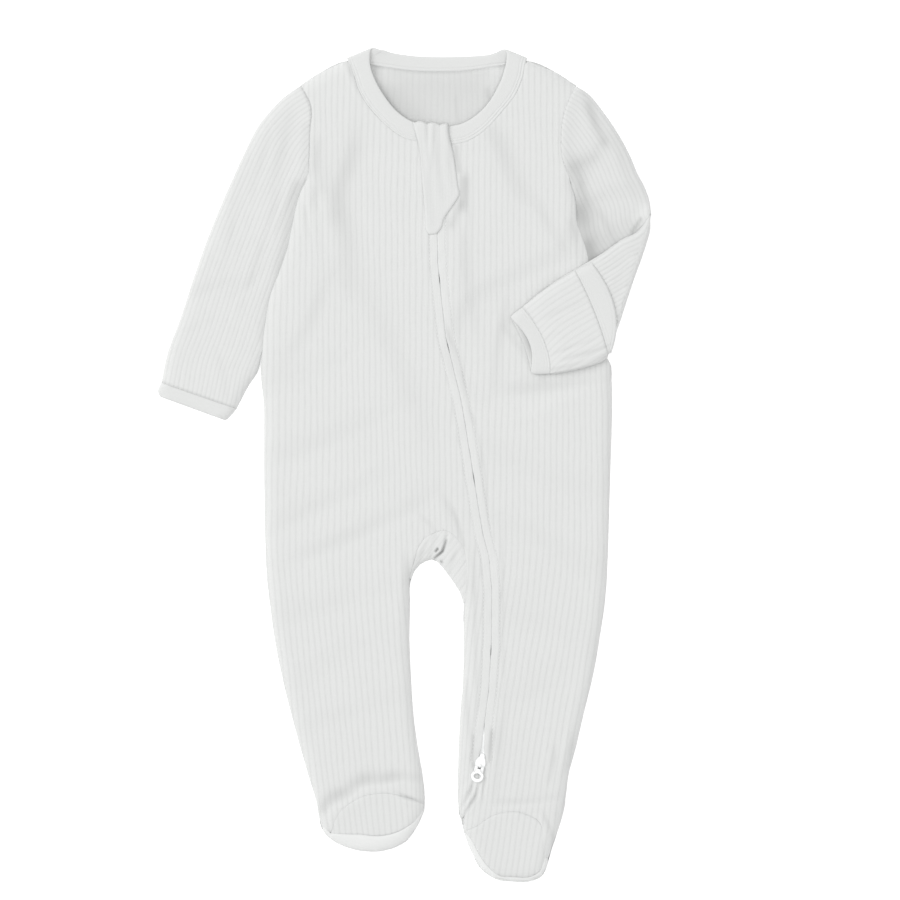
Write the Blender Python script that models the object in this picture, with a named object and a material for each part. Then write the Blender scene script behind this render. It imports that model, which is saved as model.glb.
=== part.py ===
"""Footed baby sleepsuit in ribbed knit, laid flat on its back.

The neck points to +Y, the feet to -Y and the front of the garment up. The panels lie on each
other: the back flat on the surface, the fronts on the back, the right sleeve folded over both.
All tables are in millimetres. Left and right are as seen from above.
"""
import bpy
import bmesh
import numpy as np

for old in list(bpy.data.objects):
    bpy.data.objects.remove(old, do_unlink=True)

MM = 0.001

# Cloth
WALL = 1.4          # ribbed knit
BAND_WALL = 1.6     # smooth knit band, doubled
GUARD_WALL = 1.6    # zip guard, doubled
TAPE_WALL = 1.0     # woven zip tape
GAP = 0.4           # between two pieces at a seam
LAYER_GAP = 0.3     # between two pieces that lie on each other
TOE_GAP = 0.6       # at the seam that turns over the toes

# Heights of the front above the surface
EDGE_TOP = 3.1      # where the front meets the back
CROWN = 2.9         # how much higher it lies away from the edges
ROLL = 9.0          # width of the rolled edge
PRESS = 1.8         # how far the folded sleeve presses the front down
PRESS_INNER = 36.0  # reach of the full press from the forearm's middle line
PRESS_OUTER = 50.0

# Sleeves
SLEEVE_FLAT = 3.2   # both layers of a sleeve, lying flat
SLEEVE_CROWN = 1.9
SLEEVE_EDGE = 0.4   # how far the sleeve's edge is rounded, above and below
FOREARM_CROWN = 0.6
FOLD_AXIS_Z = 3.9   # height of the line that the forearm is folded about
FOLD_STEPS = 4
ACROSS = (0.0, 0.05, 0.12, 0.25, 0.42, 0.58, 0.75, 0.88, 0.95, 1.0)

# Seam of the left front with its sleeve, from the shoulder to the underarm.
#   x, y
ARMHOLE_LEFT = [
    (-70.0, 253.3), (-66.7, 248.2), (-63.6, 241.5), (-62.5, 234.5), (-63.3, 227.0),
    (-63.8, 219.5), (-64.0, 212.5), (-64.4, 205.0), (-64.7, 197.5), (-66.3, 190.3),
]
ARMHOLE_RIGHT = [
    (114.2, 252.9), (110.6, 246.6), (107.4, 239.5), (105.4, 232.5), (104.3, 225.5),
    (104.0, 218.5), (104.0, 211.5), (104.9, 204.5), (107.4, 197.0), (110.6, 188.3),
]

# Shoulder line of the back, from the neck out, and the front's corner at the neck.
#   x, y
SHOULDER_LEFT = [(-40.4, 269.7), (-56.6, 262.6), (-70.0, 254.4)]
SHOULDER_RIGHT = [(82.8, 269.7), (100.2, 262.6), (114.6, 254.6)]
CORNER_LEFT = (-39.8, 268.8)
CORNER_RIGHT = (82.2, 268.2)

# Neck binding. The front halves run from the zip up to the shoulder.
#   free edge x, y, seam edge x, y, height of the middle of the wall
NECK_FRONT_LEFT = [
    (20.9, 224.8, 20.9, 213.5, 5.0), (9.7, 226.8, 8.0, 215.7, 5.0),
    (1.7, 230.5, -1.3, 218.0, 5.0), (-7.0, 237.2, -12.4, 225.8, 5.0),
    (-14.4, 246.6, -22.8, 236.3, 5.0), (-20.4, 257.3, -30.5, 247.9, 4.9),
    (-23.5, 266.7, -34.5, 259.0, 4.5), (-24.3, 273.4, -37.2, 267.0, 4.0),
]
NECK_FRONT_RIGHT = [
    (21.5, 224.8, 21.5, 213.3, 5.0), (29.8, 226.0, 31.2, 213.7, 5.0),
    (37.9, 227.8, 41.9, 215.9, 5.0), (46.6, 232.8, 53.9, 223.8, 5.0),
    (54.6, 240.5, 64.7, 235.5, 5.0), (60.6, 249.9, 73.4, 246.6, 4.9),
    (65.3, 260.6, 78.4, 258.0, 4.5), (67.2, 270.0, 80.0, 266.7, 4.0),
]
NECK_FOLD_LEFT = [
    (-24.0, 276.6, -39.0, 270.0, 3.6), (-23.5, 277.8, -39.6, 271.3, 2.4),
    (-22.2, 276.6, -38.4, 269.8, 1.2),
]
NECK_FOLD_RIGHT = [
    (66.0, 276.6, 80.6, 269.8, 1.2), (67.4, 277.8, 81.8, 271.3, 2.4),
    (67.8, 276.6, 81.2, 270.0, 3.6),
]
NECK_BACK = [
    (-17.1, 277.6, -25.1, 267.7, 0.9), (-7.7, 275.7, -9.0, 265.0, 0.9),
    (4.4, 274.0, 4.4, 263.4, 0.9), (23.1, 272.8, 23.1, 262.8, 0.9),
    (41.9, 273.7, 41.9, 263.6, 0.9), (53.9, 275.5, 54.6, 265.3, 0.9),
    (62.0, 277.6, 68.7, 267.5, 0.9),
]

# Closing line of the zip, from the neck to the end of the seam below it.
#   y, x, half of the opening
ZIP_LINE = [
    (213.4, 21.2, 0.25), (154.1, 21.4, 0.25), (135.3, 21.6, 0.25), (113.2, 23.8, 0.25),
    (84.4, 27.1, 0.25), (59.6, 33.2, 0.25), (42.9, 37.2, 0.25), (23.5, 40.5, 0.25),
    (4.0, 43.6, 0.25), (-20.8, 47.6, 0.25), (-46.2, 51.7, 0.25), (-62.3, 55.9, 0.25),
    (-84.4, 57.8, 0.25), (-117.9, 57.6, 0.25), (-150.8, 55.7, 0.25), (-172.9, 52.9, 0.25),
    (-182.0, 52.2, 1.0), (-190.3, 51.6, 3.0), (-194.0, 51.2, 4.1), (-203.5, 49.9, 4.1),
    (-206.5, 49.4, 0.25), (-221.8, 46.6, 0.25), (-232.5, 41.2, 0.25), (-237.9, 37.5, 0.25),
]
ZIP_TOP = 212.0
CHAIN_END = -192.6      # where the chain goes into the slider
TAPE_END = -201.3       # end of the stitched box

# Sections of the fronts below the armholes: outer edge, then place along the zip.
#   side x, y, zip y
LEFT_SIDE = [
    (-66.3, 190.3, 189.6), (-70.7, 180.9, 179.6), (-74.7, 165.5, 166.2), (-79.4, 143.4, 143.4),
    (-84.8, 128.0, 128.0), (-90.8, 111.9, 111.9), (-93.8, 95.1, 95.1), (-95.8, 76.4, 76.4),
    (-96.6, 57.6, 57.6), (-94.9, 39.5, 39.5), (-94.8, 19.4, 19.4), (-94.8, -4.0, -4.0),
    (-94.5, -27.5, -27.5),
]
RIGHT_SIDE = [
    (110.6, 188.3, 188.3), (113.9, 175.5, 175.5), (114.9, 162.1, 162.1), (120.3, 146.7, 146.7),
    (124.0, 128.0, 128.0), (126.0, 109.9, 109.9), (128.6, 89.8, 89.8), (132.0, 75.0, 74.4),
    (136.9, 67.7, 67.0), (138.0, 56.3, 56.3), (138.4, 39.5, 39.5), (138.0, 19.4, 19.4),
    (137.2, -4.0, -4.0), (136.5, -27.5, -27.5), (136.0, -46.2, -46.2), (135.4, -64.3, -64.3),
    (134.0, -87.8, -87.8), (130.3, -114.6, -114.6), (125.6, -141.4, -141.4),
    (119.6, -166.2, -166.2), (116.2, -180.9, -182.0), (114.0, -190.3, -190.3),
    (113.0, -194.0, -194.0), (110.3, -203.5, -203.5), (109.5, -206.5, -206.5),
    (107.5, -222.0, -221.8),
]

# Gusset at the fork: seam with the left front, then the fork's edge.
#   seam x, y, edge x, y
GUSSET = [
    (3.0, -76.4, 3.6, -78.0), (6.4, -63.7, 6.7, -70.7), (8.4, -56.3, 10.0, -67.2),
    (12.8, -49.6, 14.0, -64.9), (19.1, -46.1, 17.5, -63.9), (25.8, -43.9, 20.0, -64.3),
    (30.8, -46.2, 22.3, -66.3), (35.8, -51.3, 25.0, -69.5), (39.5, -58.3, 28.3, -74.0),
    (40.9, -69.7, 32.0, -79.0), (40.4, -83.1, 35.8, -84.8), (39.1, -93.8, 38.5, -92.0),
]
GUSSET_LEG = 3      # rows of GUSSET where the left leg and the strip begin
GUSSET_STRIP = 5

# Left leg: outer edge and inner edge.
#   outer x, y, inner x, y
LEFT_LEG = [
    (-94.1, -47.6, 12.8, -49.6), (-93.9, -54.6, 8.4, -56.3), (-93.6, -62.0, 6.4, -63.7),
    (-92.8, -76.4, 3.0, -76.4), (-90.5, -95.8, 3.1, -94.5), (-87.4, -117.9, 2.7, -116.6),
    (-82.1, -144.7, 3.7, -142.0), (-75.4, -171.5, 5.4, -168.2), (-68.0, -198.3, 8.9, -193.6),
    (-63.0, -215.1, 11.7, -209.4),
]
# Strip of the left front on the right leg: inner edge, place along the zip.
#   inner x, y, zip y
STRIP = [
    (25.8, -43.9, -46.2), (30.8, -46.2, -50.0), (35.8, -51.3, -54.0), (39.5, -58.3, -62.3),
    (40.9, -69.7, -71.0), (40.4, -83.1, -84.4), (39.1, -93.8, -95.0), (38.9, -117.9, -117.9),
    (38.2, -150.0, -150.8), (36.9, -164.0, -164.0), (36.3, -173.5, -172.9),
    (35.9, -182.0, -182.0), (35.6, -190.3, -190.3), (35.4, -194.0, -194.0),
    (35.1, -203.5, -203.5), (35.0, -206.5, -206.5), (34.7, -218.0, -215.0),
    (35.4, -229.0, -226.0), (36.4, -235.8, -234.5),
]

# Feet, from the outer side of the toes to the inner side on the left, and back on the right.
#   leg seam x, y, sole seam x, y, toe edge x, y
LEFT_FOOT = [
    (-49.4, -245.8, -49.4, -247.8, -49.6, -251.4), (-47.0, -238.0, -45.9, -247.4, -44.0, -254.6),
    (-41.9, -230.8, -39.0, -247.6, -36.0, -257.6), (-33.8, -224.8, -30.0, -247.8, -28.0, -259.1),
    (-25.0, -221.2, -20.0, -248.8, -18.0, -259.3), (-12.4, -220.1, -9.0, -247.4, -8.0, -257.0),
    (-2.3, -222.1, -1.7, -244.4, 0.8, -252.3), (5.5, -224.3, 5.5, -239.7, 7.5, -243.2),
    (12.0, -227.3, 11.2, -231.8, 12.6, -232.6),
]
LEFT_FOOT_TIP = (-50.4, -250.2)
RIGHT_FOOT = [
    (40.9, -244.7, 42.0, -247.4, 39.6, -248.0), (47.0, -242.6, 45.0, -252.8, 41.9, -254.6),
    (53.3, -238.2, 48.3, -259.4, 45.3, -262.0), (58.5, -235.2, 54.5, -268.5, 50.5, -271.0),
    (64.0, -233.2, 62.0, -275.0, 58.5, -277.0), (74.4, -232.3, 73.0, -276.4, 71.5, -279.4),
    (82.7, -234.8, 83.0, -276.4, 83.5, -279.2), (89.2, -239.0, 89.6, -273.0, 91.5, -275.6),
    (91.6, -246.0, 92.0, -268.0, 94.5, -270.0), (93.2, -259.5, 93.4, -263.4, 95.4, -264.6),
]
RIGHT_FOOT_TIP = (95.6, -261.6)
# Ankle sections above those seams, at the middle of the columns.
#   x, y
LEFT_ANKLE = [(-59.6, -226.0), (-46.0, -221.5), (-25.1, -216.0), (-5.0, -215.0), (13.0, -218.5)]
RIGHT_ANKLE = [(38.2, -237.9), (50.5, -230.8), (66.7, -227.0), (86.8, -228.0), (106.0, -232.0)]
# Outer side of each foot between the heel and the toe, and the heel seam on the back.
#   x, y
LEFT_HEEL_SIDE = [(-59.6, -226.0), (-59.0, -232.5), (-57.4, -238.5), (-54.9, -245.2)]
RIGHT_HEEL_SIDE = [(106.0, -232.0), (104.5, -238.2), (102.2, -245.2), (98.8, -254.0)]
LEFT_HEEL = [(-59.8, -224.0), (13.6, -224.0)]
RIGHT_HEEL = [(35.8, -233.0), (106.2, -231.0)]

# Sections of the sleeves from the armhole to the cuff. Each bows towards +X in its middle.
#   outer x, y, underarm x, y, bow
LEFT_SLEEVE = [
    (-83.4, 243.9, -71.2, 180.9, 3.0), (-96.1, 229.8, -75.2, 165.5, 2.0),
    (-106.9, 210.4, -79.9, 143.4, 1.0), (-114.9, 193.0, -85.3, 128.0, 0.0),
    (-122.9, 174.9, -91.3, 111.9, 0.0), (-131.7, 153.4, -94.4, 95.1, 0.0),
    (-141.7, 125.3, -96.5, 76.4, 0.0), (-151.1, 96.5, -98.9, 61.9, 0.0),
    (-159.5, 73.7, -105.5, 51.5, 0.0), (-163.5, 54.3, -113.2, 36.8, 0.0),
]
LEFT_CUFF = [
    (-163.9, 53.8, -113.6, 36.3, 0.0), (-165.8, 49.3, -116.9, 32.4, 0.0),
    (-164.8, 45.2, -120.3, 29.0, 0.0),
]
RIGHT_SLEEVE = [
    (125.0, 245.2, 114.5, 175.5, -2.0), (134.3, 233.2, 115.6, 162.1, -1.0),
    (142.4, 221.1, 120.9, 146.7, 0.0), (149.7, 207.7, 124.6, 128.0, 0.0),
    (155.8, 195.6, 126.6, 109.9, 0.0), (160.0, 184.9, 129.2, 89.8, 0.0),
    (161.8, 176.2, 132.6, 77.0, 0.0), (161.6, 168.8, 136.2, 74.6, 0.0),
]
# The last section of the upper arm is the line that the forearm is folded about.
RIGHT_FOREARM = [
    (154.5, 155.0, 134.6, 70.5, 0.0), (143.5, 149.5, 130.5, 68.0, 0.0),
    (132.5, 141.5, 124.5, 65.8, 0.0), (121.5, 134.8, 118.0, 63.8, 0.0),
    (110.5, 128.4, 111.5, 62.3, 0.0), (99.5, 121.6, 105.5, 61.2, 1.0),
    (88.5, 113.8, 100.5, 60.4, 3.0), (78.0, 104.8, 96.8, 60.4, 5.0),
]
RIGHT_CUFF = [
    (77.5, 104.4, 96.3, 60.2, 5.0), (73.5, 101.6, 90.0, 60.0, 3.5), (70.2, 98.6, 84.4, 60.4, 2.0),
]
# Mitt on top of the folded forearm, from its opening to the cuff.
MITT_BAND = [
    (124.3, 134.7, 137.6, 74.4, 9.0), (118.6, 132.2, 136.7, 74.0, 5.0),
    (113.4, 129.6, 135.7, 73.6, 2.0),
]
MITT = [
    (112.9, 129.3, 135.2, 73.2, 2.0), (106.5, 125.2, 127.5, 67.6, 2.0),
    (99.5, 121.0, 118.0, 64.4, 2.0), (92.5, 116.2, 109.0, 62.4, 2.5),
    (85.5, 110.8, 101.5, 61.2, 3.5), (78.6, 104.8, 97.2, 61.0, 5.0),
]
FOREARM_MIDDLE = [(74.0, 79.7), (112.0, 98.0), (140.0, 110.0), (150.0, 140.0)]

# Zip guard, from the neck to its point.
#   left x, y, right x, y
GUARD = [
    (4.6, 229.2, 28.7, 226.8), (7.2, 219.5, 29.5, 218.5), (9.2, 210.5, 31.8, 209.0),
    (10.4, 198.0, 33.8, 196.5), (11.4, 186.0, 35.2, 186.0), (12.2, 177.0, 36.0, 179.6),
    (12.8, 169.0, 30.5, 171.0), (13.2, 162.0, 26.0, 164.3), (13.8, 155.8, 23.8, 157.6),
    (16.0, 153.2, 20.5, 153.6),
]
GUARD_TOP_Z = 7.9

# Zip
TAPE_OUTER = 10.0       # half widths from the closing line
TAPE_INNER = 2.8
CHAIN_HALF = 2.2
CHAIN_WALL = 2.0

# Slider and pull, about the hinge: x across, y up the zip, z above the surface
HINGE = (49.7, -201.9)
HINGE_Z = 6.8
SLIDER_LEAN = np.radians(-14.0)
LOWER_WING_Z = (1.8, 2.6)
UPPER_WING_Z = (5.0, 6.0)
BRIDGE_TOP = 8.3
BRIDGE_UNDER = 7.6
BRIDGE_HALF = 0.8
PIN_HALF = 0.4
PULL_HALF = 0.45        # half of the pull's thickness
PULL_RING = 6.9         # from the hinge to the middle of the ring
PULL_RADIUS = 4.2
PULL_HOLE = (2.35, 1.75)
PULL_NECK = 2.5
EYE = (1.3, 2.7)        # half width and far end of the eye round the bridge


def material(name, colour, roughness):
    """A Principled material of one linear colour."""
    made = bpy.data.materials.new(name)
    made.use_nodes = True
    shader = made.node_tree.nodes["Principled BSDF"]
    shader.inputs["Base Color"].default_value = (*colour, 1.0)
    shader.inputs["Roughness"].default_value = roughness
    return made


def finish(name, points, faces, look, wall=0.0):
    """One object from points in millimetres, with a wall laid under its faces."""
    mesh = bpy.data.meshes.new(name)
    mesh.from_pydata([tuple(p) for p in np.asarray(points) * MM], [], faces)
    work = bmesh.new()
    work.from_mesh(mesh)
    bmesh.ops.remove_doubles(work, verts=work.verts, dist=0.01 * MM)
    work.to_mesh(mesh)
    work.free()
    mesh.materials.append(look)
    made = bpy.data.objects.new(name, mesh)
    bpy.context.scene.collection.objects.link(made)
    if wall:
        solid = made.modifiers.new("wall", "SOLIDIFY")
        solid.thickness = wall * MM
        solid.offset = -1.0
    return made


def grid_faces(rows, columns, start=0):
    """Quads between neighbouring rows; they face up where rows run down and columns right."""
    faces = []
    for r in range(rows - 1):
        for c in range(columns - 1):
            a = start + r * columns + c
            faces.append((a, a + columns, a + columns + 1, a + 1))
    return faces


def cloth(name, grids, look, wall=WALL):
    """A wall through one or more grids of points, joined where they share an edge."""
    points = []
    faces = []
    for grid in grids:
        faces += grid_faces(grid.shape[0], grid.shape[1], len(points))
        points += list(grid.reshape(-1, 3))
    return finish(name, points, faces, look, wall)


def between(a, b, shares):
    """Points at the given shares of the way from each row of a to the same row of b."""
    a = np.asarray(a, float)[:, None, :]
    b = np.asarray(b, float)[:, None, :]
    t = np.asarray(shares, float)[None, :, None]
    return a + (b - a) * t


def along(line, count):
    """Evenly spaced points on a polyline."""
    line = np.asarray(line, float)
    reach = np.r_[0.0, np.cumsum(np.linalg.norm(np.diff(line, axis=0), axis=1))]
    at = np.linspace(0.0, reach[-1], count)
    return np.stack([np.interp(at, reach, column) for column in line.T], axis=-1)


def distance(points, lines):
    """Shortest distance in plan from each point to any of the polylines."""
    points = np.asarray(points, float)[..., :2]
    best = np.full(points.shape[:-1], np.inf)
    for line in lines:
        line = np.asarray(line, float)
        for a, b in zip(line[:-1], line[1:]):
            run = b - a
            share = np.clip(((points - a) @ run) / max(run @ run, 1e-9), 0.0, 1.0)
            gap = np.linalg.norm(points - a - share[..., None] * run, axis=-1)
            best = np.minimum(best, gap)
    return best


def rise(gap, width=ROLL):
    """Quarter of an ellipse: 0 at an edge, 1 from the roll's width inwards."""
    left = np.clip(1.0 - gap / width, 0.0, 1.0)
    return np.sqrt(1.0 - left * left)


def zip_x(y):
    """Where the closing line of the zip is, and half of its opening, at a height y."""
    table = np.array(ZIP_LINE)[::-1]
    return np.interp(y, table[:, 0], table[:, 1]), np.interp(y, table[:, 0], table[:, 2])


def zip_edge(y, side):
    """Edge of a front at the zip: side -1 for the left front, 1 for the right."""
    middle, half = zip_x(y)
    return (middle + side * half, y)


def beside(line, gap):
    """A polyline moved sideways by the gap, to its right as it runs."""
    line = np.asarray(line, float)
    run = np.gradient(line, axis=0)
    run = run / np.linalg.norm(run, axis=1, keepdims=True)
    return line + np.stack([run[:, 1], -run[:, 0]], axis=-1) * gap


def away(start, end, gap):
    """The end moved on, away from the start, by the gap."""
    start = np.asarray(start, float)
    end = np.asarray(end, float)
    run = end - start
    return end + run / np.linalg.norm(run, axis=-1, keepdims=True) * gap


# ---- edges that every piece shares ----

left_foot = np.array(LEFT_FOOT)
right_foot = np.array(RIGHT_FOOT)
gusset = np.array(GUSSET)
left_outline = (
    [ARMHOLE_LEFT[-1]] + [row[:2] for row in LEFT_SIDE] + [row[:2] for row in LEFT_LEG]
    + LEFT_HEEL_SIDE + [tuple(row[4:]) for row in LEFT_FOOT]
    + [LEFT_HEEL[1]] + [row[2:] for row in LEFT_LEG[::-1]]
)
right_outline = (
    [ARMHOLE_RIGHT[-1]] + [row[:2] for row in RIGHT_SIDE] + RIGHT_HEEL_SIDE
    + [tuple(row[4:]) for row in RIGHT_FOOT[::-1]] + [RIGHT_ANKLE[0]]
    + [row[:2] for row in STRIP[:GUSSET_STRIP:-1]]
)
fork = [tuple(row[2:]) for row in GUSSET]
body_edges = [
    left_outline[:-GUSSET_LEG], fork, right_outline, SHOULDER_LEFT, SHOULDER_RIGHT,
]


def pressed(points):
    """How fully the folded forearm presses on each point: 1 under it, 0 well outside."""
    near = distance(points, [FOREARM_MIDDLE])
    share = np.clip((PRESS_OUTER - near) / (PRESS_OUTER - PRESS_INNER), 0.0, 1.0)
    return share * share * (3.0 - 2.0 * share)


def front_height(points):
    """Top of the front: low at every edge, and pressed down under the folded sleeve."""
    crown = CROWN - PRESS * pressed(points)
    return EDGE_TOP + crown * rise(distance(points, body_edges))


def with_height(plan, height):
    """Plan points with a height, one number or one for each point."""
    plan = np.asarray(plan, float)
    level = np.broadcast_to(height, plan.shape[:-1])
    return np.concatenate([plan, level[..., None]], axis=-1)


def on_front(plan):
    """Plan points laid on the top of the front."""
    return with_height(plan, front_height(plan))


# ---- looks ----

RIBBED = material("ribbed_cotton_knit", (0.80, 0.80, 0.79), 0.9)
SMOOTH = material("smooth_cotton_knit", (0.81, 0.81, 0.80), 0.9)
TAPE = material("woven_polyester_tape", (0.82, 0.82, 0.82), 0.8)
PLASTIC = material("white_enamelled_zinc", (0.88, 0.88, 0.88), 0.35)

# ---- back: one flat piece, torso and legs ----

neck_back = np.array(NECK_BACK)
back_neckline = away(neck_back[:, 0:2], neck_back[:, 2:4], GAP)
back_line = (
    SHOULDER_LEFT + ARMHOLE_LEFT[:-1] + [row[:2] for row in LEFT_SIDE]
    + [row[:2] for row in LEFT_LEG] + LEFT_HEEL
    + [row[2:] for row in LEFT_LEG[:GUSSET_LEG:-1]] + fork
    + [row[:2] for row in STRIP[GUSSET_STRIP + 1:-1]]
    + RIGHT_HEEL + [row[:2] for row in RIGHT_SIDE[::-1]] + ARMHOLE_RIGHT[-2::-1]
    + SHOULDER_RIGHT[::-1] + [tuple(p) for p in back_neckline[::-1]]
)
finish("back_panel", with_height(back_line, WALL), [tuple(range(len(back_line)))], RIBBED, WALL)

# ---- fronts ----


def neck_edge(table, corner):
    """Edge of a front along the neck binding, from the shoulder to the zip."""
    rows = np.array(table)[::-1]
    return [corner] + list(away(rows[:, 0:2], rows[:, 2:4], GAP))


leg_shares = np.linspace(0.0, 1.0, len(LEFT_FOOT) + 1)
split_y = STRIP[0][2]
leg_top = between([LEFT_LEG[0][:2]], [LEFT_LEG[0][2:]], leg_shares)[0]
strip_top = between([STRIP[0][:2]], [zip_edge(split_y, -1)], np.linspace(0.0, 1.0, 4))[0]
split = np.concatenate([leg_top, [GUSSET[4][:2]], strip_top])
torso_shares = (split[:, 0] - split[0, 0]) / (split[-1, 0] - split[0, 0])
outer = ARMHOLE_LEFT[:-1] + [row[:2] for row in LEFT_SIDE]
inner = neck_edge(NECK_FRONT_LEFT, CORNER_LEFT) + [zip_edge(row[2], -1) for row in LEFT_SIDE]
torso = np.concatenate([between(outer, inner, torso_shares), split[None]])
leg = between([row[:2] for row in LEFT_LEG], [row[2:] for row in LEFT_LEG], leg_shares)
ankle = along(LEFT_ANKLE, len(leg_shares))
leg_end = np.concatenate([[LEFT_FOOT_TIP], left_foot[:, 0:2]])
above_end = (ankle + leg_end) / 2
above_end[0] = LEFT_HEEL_SIDE[2]
leg = np.concatenate([leg, [ankle, above_end, leg_end]])
strip = between([row[:2] for row in STRIP], [zip_edge(row[2], -1) for row in STRIP],
                np.linspace(0.0, 1.0, 4))
cloth("front_panel_left", [on_front(torso), on_front(leg), on_front(strip)], RIBBED)

right_shares = np.linspace(0.0, 1.0, len(RIGHT_FOOT) + 1)
outer = ARMHOLE_RIGHT[:-1] + [row[:2] for row in RIGHT_SIDE]
inner = neck_edge(NECK_FRONT_RIGHT, CORNER_RIGHT) + [zip_edge(row[2], 1) for row in RIGHT_SIDE]
half = between(inner, outer, right_shares)
ankle = along(RIGHT_ANKLE, len(right_shares))
leg_end = np.concatenate([right_foot[:, 0:2], [RIGHT_FOOT_TIP]])
above_end = (ankle + leg_end) / 2
above_end[-1] = RIGHT_HEEL_SIDE[2]
half = np.concatenate([half, [ankle, above_end, leg_end]])
cloth("front_panel_right", [on_front(half)], RIBBED)

# ---- gusset at the fork ----

lip_rows = np.concatenate([
    [gusset[:2].mean(axis=0)], gusset[1:-1], [gusset[-2:].mean(axis=0)],
])
inside = away(lip_rows[:, 2:4], lip_rows[:, 0:2], -GAP)
lip = between(inside, lip_rows[:, 2:4], [0.0, 0.3, 0.65, 1.0]).transpose(1, 0, 2)
cloth("crotch_gusset", [on_front(lip)], RIBBED)

# ---- sleeves ----


def sections(table):
    """Plan points of a sleeve's sections, from the outer edge to the underarm edge."""
    rows = np.array(table, float)
    shares = np.array(ACROSS)
    plan = between(rows[:, 0:2], rows[:, 2:4], shares)
    plan[..., 0] += rows[:, 4:5] * 4.0 * shares * (1.0 - shares)
    return plan


def rounded(levels, offset):
    """The same levels with the two edges of each section moved by the offset."""
    levels = np.array(levels, float)
    levels[..., [0, -1]] = offset
    return levels


def rings(plan, top, bottom):
    """Closed rings of a flattened tube: over the top, and back underneath."""
    over = with_height(plan, rounded(top, SLEEVE_FLAT - SLEEVE_EDGE))
    under = with_height(plan, rounded(bottom, SLEEVE_EDGE))
    return np.concatenate([over, under[:, ::-1]], axis=1)


def tube(name, loops, look, mirrored=False):
    """A cloth tube through closed rings, open at both ends."""
    loops = np.concatenate([loops, loops[:, :1]], axis=1)
    if mirrored:
        loops = loops[:, ::-1]
    cloth(name, [loops], look)


def sleeve_height(plan, table):
    """Top of a sleeve that lies on the surface."""
    rows = np.array(table, float)
    gap = distance(plan, [rows[:, 0:2], rows[:, 2:4]])
    return SLEEVE_FLAT + (SLEEVE_CROWN - PRESS * pressed(plan)) * rise(gap)


left_armhole = np.array(ARMHOLE_LEFT) - (GAP, 0.0)
left_plan = np.concatenate([[left_armhole], sections(LEFT_SLEEVE)])
left_top = sleeve_height(left_plan, LEFT_SLEEVE)
left_top[0] = front_height(ARMHOLE_LEFT)
tube("sleeve_left", rings(left_plan, left_top, 0.0 * left_top), RIBBED)

left_cuff_plan = sections(LEFT_CUFF)
left_cuff_top = sleeve_height(left_cuff_plan, LEFT_CUFF)
tube("cuff_binding_left", rings(left_cuff_plan, left_cuff_top, 0.0 * left_cuff_top), SMOOTH)

right_armhole = np.array(ARMHOLE_RIGHT) + (GAP, 0.0)
upper_plan = np.concatenate([[right_armhole], sections(RIGHT_SLEEVE)])
upper_top = sleeve_height(upper_plan, RIGHT_SLEEVE)
upper_top[0] = front_height(ARMHOLE_RIGHT)
upper_top[-1] = SLEEVE_FLAT
upper = rings(upper_plan, upper_top, 0.0 * upper_top)

fold_start, fold_end = np.array(RIGHT_SLEEVE[-1][:2]), np.array(RIGHT_SLEEVE[-1][2:4])
fold_run = (fold_end - fold_start) / np.linalg.norm(fold_end - fold_start)
fold_out = np.array([-fold_run[1], fold_run[0], 0.0])


def folded(loops, angle):
    """Rings turned about the fold line by the angle; half a turn lays them on top."""
    reach = FOLD_AXIS_Z - loops[..., 2]
    turned = loops + reach[..., None] * np.sin(angle) * fold_out
    turned[..., 2] = FOLD_AXIS_Z - reach * np.cos(angle)
    return turned


bend = [folded(upper[-1:], np.pi * step / FOLD_STEPS) for step in range(1, FOLD_STEPS + 1)]
forearm_rows = np.array([RIGHT_SLEEVE[-1]] + RIGHT_FOREARM + RIGHT_CUFF)


def forearm_rings(table):
    """Rings of the folded part, whose back now lies on top."""
    plan = sections(table)
    gap = distance(plan, [forearm_rows[:, 0:2], forearm_rows[:, 2:4]])
    back = -FOREARM_CROWN * rise(gap)
    return folded(rings(plan, np.full(gap.shape, SLEEVE_FLAT), back), np.pi)


tube("sleeve_right", np.concatenate([upper] + bend + [forearm_rings(RIGHT_FOREARM)]), RIBBED, True)
tube("cuff_binding_right", forearm_rings(RIGHT_CUFF), SMOOTH, True)

# ---- fold-over mitt, on the back of the right sleeve, which lies on top ----


def on_forearm(table):
    """Sections laid on the folded forearm, one wall above it."""
    plan = sections(table)
    gap = distance(plan, [forearm_rows[:, 0:2], forearm_rows[:, 2:4]])
    top = 2.0 * FOLD_AXIS_Z + FOREARM_CROWN * rise(gap) + LAYER_GAP + WALL
    return with_height(plan, top)


cloth("mitt_right", [on_forearm(MITT)], RIBBED)
cloth("mitt_binding_right", [on_forearm(MITT_BAND)], SMOOTH)

# ---- neck binding: one band, folded at both shoulders ----

neck_rows = np.array(
    NECK_FRONT_LEFT + NECK_FOLD_LEFT + NECK_BACK + NECK_FOLD_RIGHT + NECK_FRONT_RIGHT[::-1]
)
free_side = neck_rows[:, [0, 1, 4]]
sewn_side = neck_rows[:, [2, 3, 4]]
band_grid = between(free_side, sewn_side, [0.0, 0.5, 1.0])
band = cloth("neck_binding", [band_grid], SMOOTH, BAND_WALL)
band.modifiers["wall"].offset = 0.0

# ---- zip guard ----

guard_rows = np.array(GUARD)
guard_plan = between(guard_rows[:, 0:2], guard_rows[:, 2:4], [0.0, 0.33, 0.67, 1.0])
cloth("zip_guard", [with_height(guard_plan, GUARD_TOP_Z)], SMOOTH, GUARD_WALL)

# ---- feet ----

TOE_SHOULDER = 0.6      # share of the way from the sole's seam to the toe edge
TOE_UNDER = 0.06        # share of the way from the toe edge to the middle of the sole


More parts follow.
